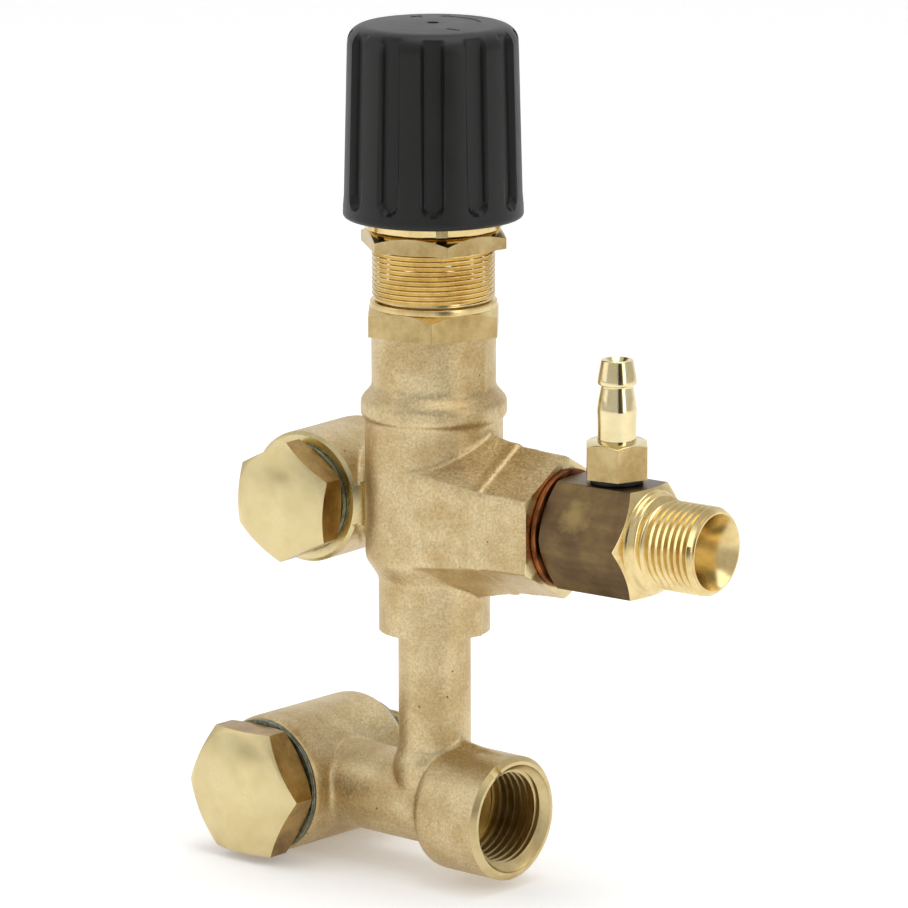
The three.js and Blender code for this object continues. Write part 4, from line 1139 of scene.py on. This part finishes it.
def place_turned(name, outline, material, body="valve", axis="Z", at=(0, 0, 0), turn=0.0, soft=0.15):
    shape = as_object(turned(rounded(outline, soft), axis, at, 64), material)
    finished(shape, name, body, [name], turn)


def place_seal(name, body="valve", turn=0.0):
    """An O-ring that fills its CAD node's box."""
    low, high = extent(name)
    outer, half = (high.x - low.x) / 2, (high.z - low.z) / 2
    circle = [(outer - half + half * math.cos(a), (low.z + high.z) / 2 + half * math.sin(a))
              for a in [math.radians(step * 22.5) for step in range(17)]]
    finished(as_object(turned(circle, steps=72), RUBBER), name, body, [name], turn)


def place_ball(name, body, x, steps=32):
    low, high = extent(name)
    radius, middle = (high.z - low.z) / 2, (high.z + low.z) / 2
    arc = [(radius * math.sin(a), -radius * math.cos(a))
        for a in [math.pi * step / steps for step in range(steps + 1)]]
    finished(as_object(turned(arc, "Z", (x, 0, middle), steps * 2), STEEL), name, body, [name])


def place_spring(name, mean_radius, wire, turns, axis, at):
    """A coil of round wire as long as its CAD node's box."""
    low, high = extent(name)
    start, end = (low.x, high.x) if axis == "X" else (low.z, high.z)
    steps = round(turns * 36)
    rise = (end - start - wire * 1.12) / steps
    bm = bmesh.new()
    made = bmesh.ops.create_circle(bm, segments=12, radius=wire / 2)
    upright = Matrix.Translation((mean_radius, 0, start + wire * 0.56)) @ Matrix.Rotation(math.pi / 2, 4, "X")
    bmesh.ops.transform(bm, matrix=upright, verts=made["verts"])
    bmesh.ops.spin(bm, geom=bm.verts[:] + bm.edges[:], cent=(0, 0, 0), axis=(0, 0, 1),
        angle=2 * math.pi * turns,
                   steps=steps, dvec=(0, 0, rise))
    bmesh.ops.holes_fill(bm, edges=[edge for edge in bm.edges if edge.is_boundary])
    bmesh.ops.recalc_face_normals(bm, faces=bm.faces)
    finished(as_object(aimed(bm, axis, at), WIRE), name, "valve", [name])


STAINLESS = metal_ring_material("turned_stainless_steel", "#c4c4c0", "#9c9c98", 0.25)
WIRE = metal_ring_material("spring_steel_wire", "#8c8c88", "#5f5f5c", 0.35)
piston_low, piston_high = extent("piston")[0].z, extent("piston")[1].z
seat_low, seat_high = extent("spring_seat")[0].z, extent("spring_seat")[1].z
guide_low, guide_high = extent("spring_guide")[0].z, extent("spring_guide")[1].z
bypass_low, bypass_high = extent("bypass_seat")[0].z, extent("bypass_seat")[1].z
check_start = extent("check_seat")[0].x
poppet_start, poppet_end = extent("check_poppet")[0].x, extent("check_poppet")[1].x
nozzle_start, nozzle_end = extent("venturi_nozzle")[0].x, extent("venturi_nozzle")[1].x

place_turned("spring_seat", [
    (0, seat_low), (5.5, seat_low), (5.5, seat_low + 4), (8.05, seat_low + 4), (8.05, seat_low + 7),
    (4, seat_low + 7),
    (4, seat_high - 0.8), (3.2, seat_high), (0, seat_high)], STAINLESS, "spring_seat")
place_turned("spring_guide", [
    (0, guide_low), (8, guide_low), (8, guide_high - 4), (5.5, guide_high - 4), (5.1, guide_high),
    (0, guide_high)],
    STAINLESS, "piston")
place_turned("piston", [
    (0, piston_low), (2.6, piston_low), (2.6, 12.5), (5.4, 12.5), (6, 13.1), (6, 16), (4.3, 16), (4.3, 20),
    (6, 20),
    (6, piston_high), (0, piston_high)], STAINLESS, "piston", soft=0.1)
place_turned("piston_backup_ring", [
    (5, 18.2), (6.03, 18.2), (6.03, 19.8), (4.38, 19.8), (4.38, 18.2), (5, 18.2)], PTFE,
    "piston")
place_turned("bypass_seat", [
    (5, bypass_low), (7.4, bypass_low), (7.4, bypass_low + 2), (6, bypass_low + 2), (6, bypass_low + 4),
    (7.4, bypass_low + 4), (7.4, bypass_high), (3.4, bypass_high), (2.8, bypass_high - 0.6),
    (2.8, bypass_low),
    (5, bypass_low)], STAINLESS, soft=0.1)
place_turned("check_seat", [
    (4.5, check_start), (6.4, check_start), (6.4, check_start + 3), (3.8, check_start + 3),
    (3, check_start + 2.2),
    (3, check_start), (4.5, check_start)], STAINLESS, axis="X", soft=0.1)
place_turned("check_poppet", [
    (0, poppet_start), (2.3, poppet_start), (2.7, poppet_start + 0.4), (2.7, poppet_start + 2),
    (4.6, poppet_start + 2),
    (4.6, poppet_start + 4), (1.7, poppet_start + 4), (1.7, poppet_end), (0, poppet_end)], PTFE,
    "check_poppet", "X")
place_turned("venturi_nozzle", [
    (4, nozzle_start), (5, nozzle_start), (5, nozzle_start + 1.4), (3, nozzle_start + 1.4),
    (3, nozzle_end - 1.5),
    (2, nozzle_end), (1, nozzle_end), (1, nozzle_end - 4), (2.4, nozzle_start), (4, nozzle_start)],
    STAINLESS,
    axis="X", soft=0.1)
for seal in ("bonnet_oring", "bypass_seat_oring"):
    place_seal(seal)
place_seal("piston_oring", "piston")
place_seal("tube_oring", "tube_seal")
place_ball("bypass_ball", "piston", 0)
place_ball("suction_ball", "suction_ball", barb_x, 24)
place_spring("main_spring", 6.9, 2, 10, "Z", (0, 0, 0))
place_spring("check_spring", 3.3, 0.7, 6, "X", (0, 0, 0))
place_spring("suction_spring", 1.6, 0.3, 3, "Z", (barb_x, 0, 0))
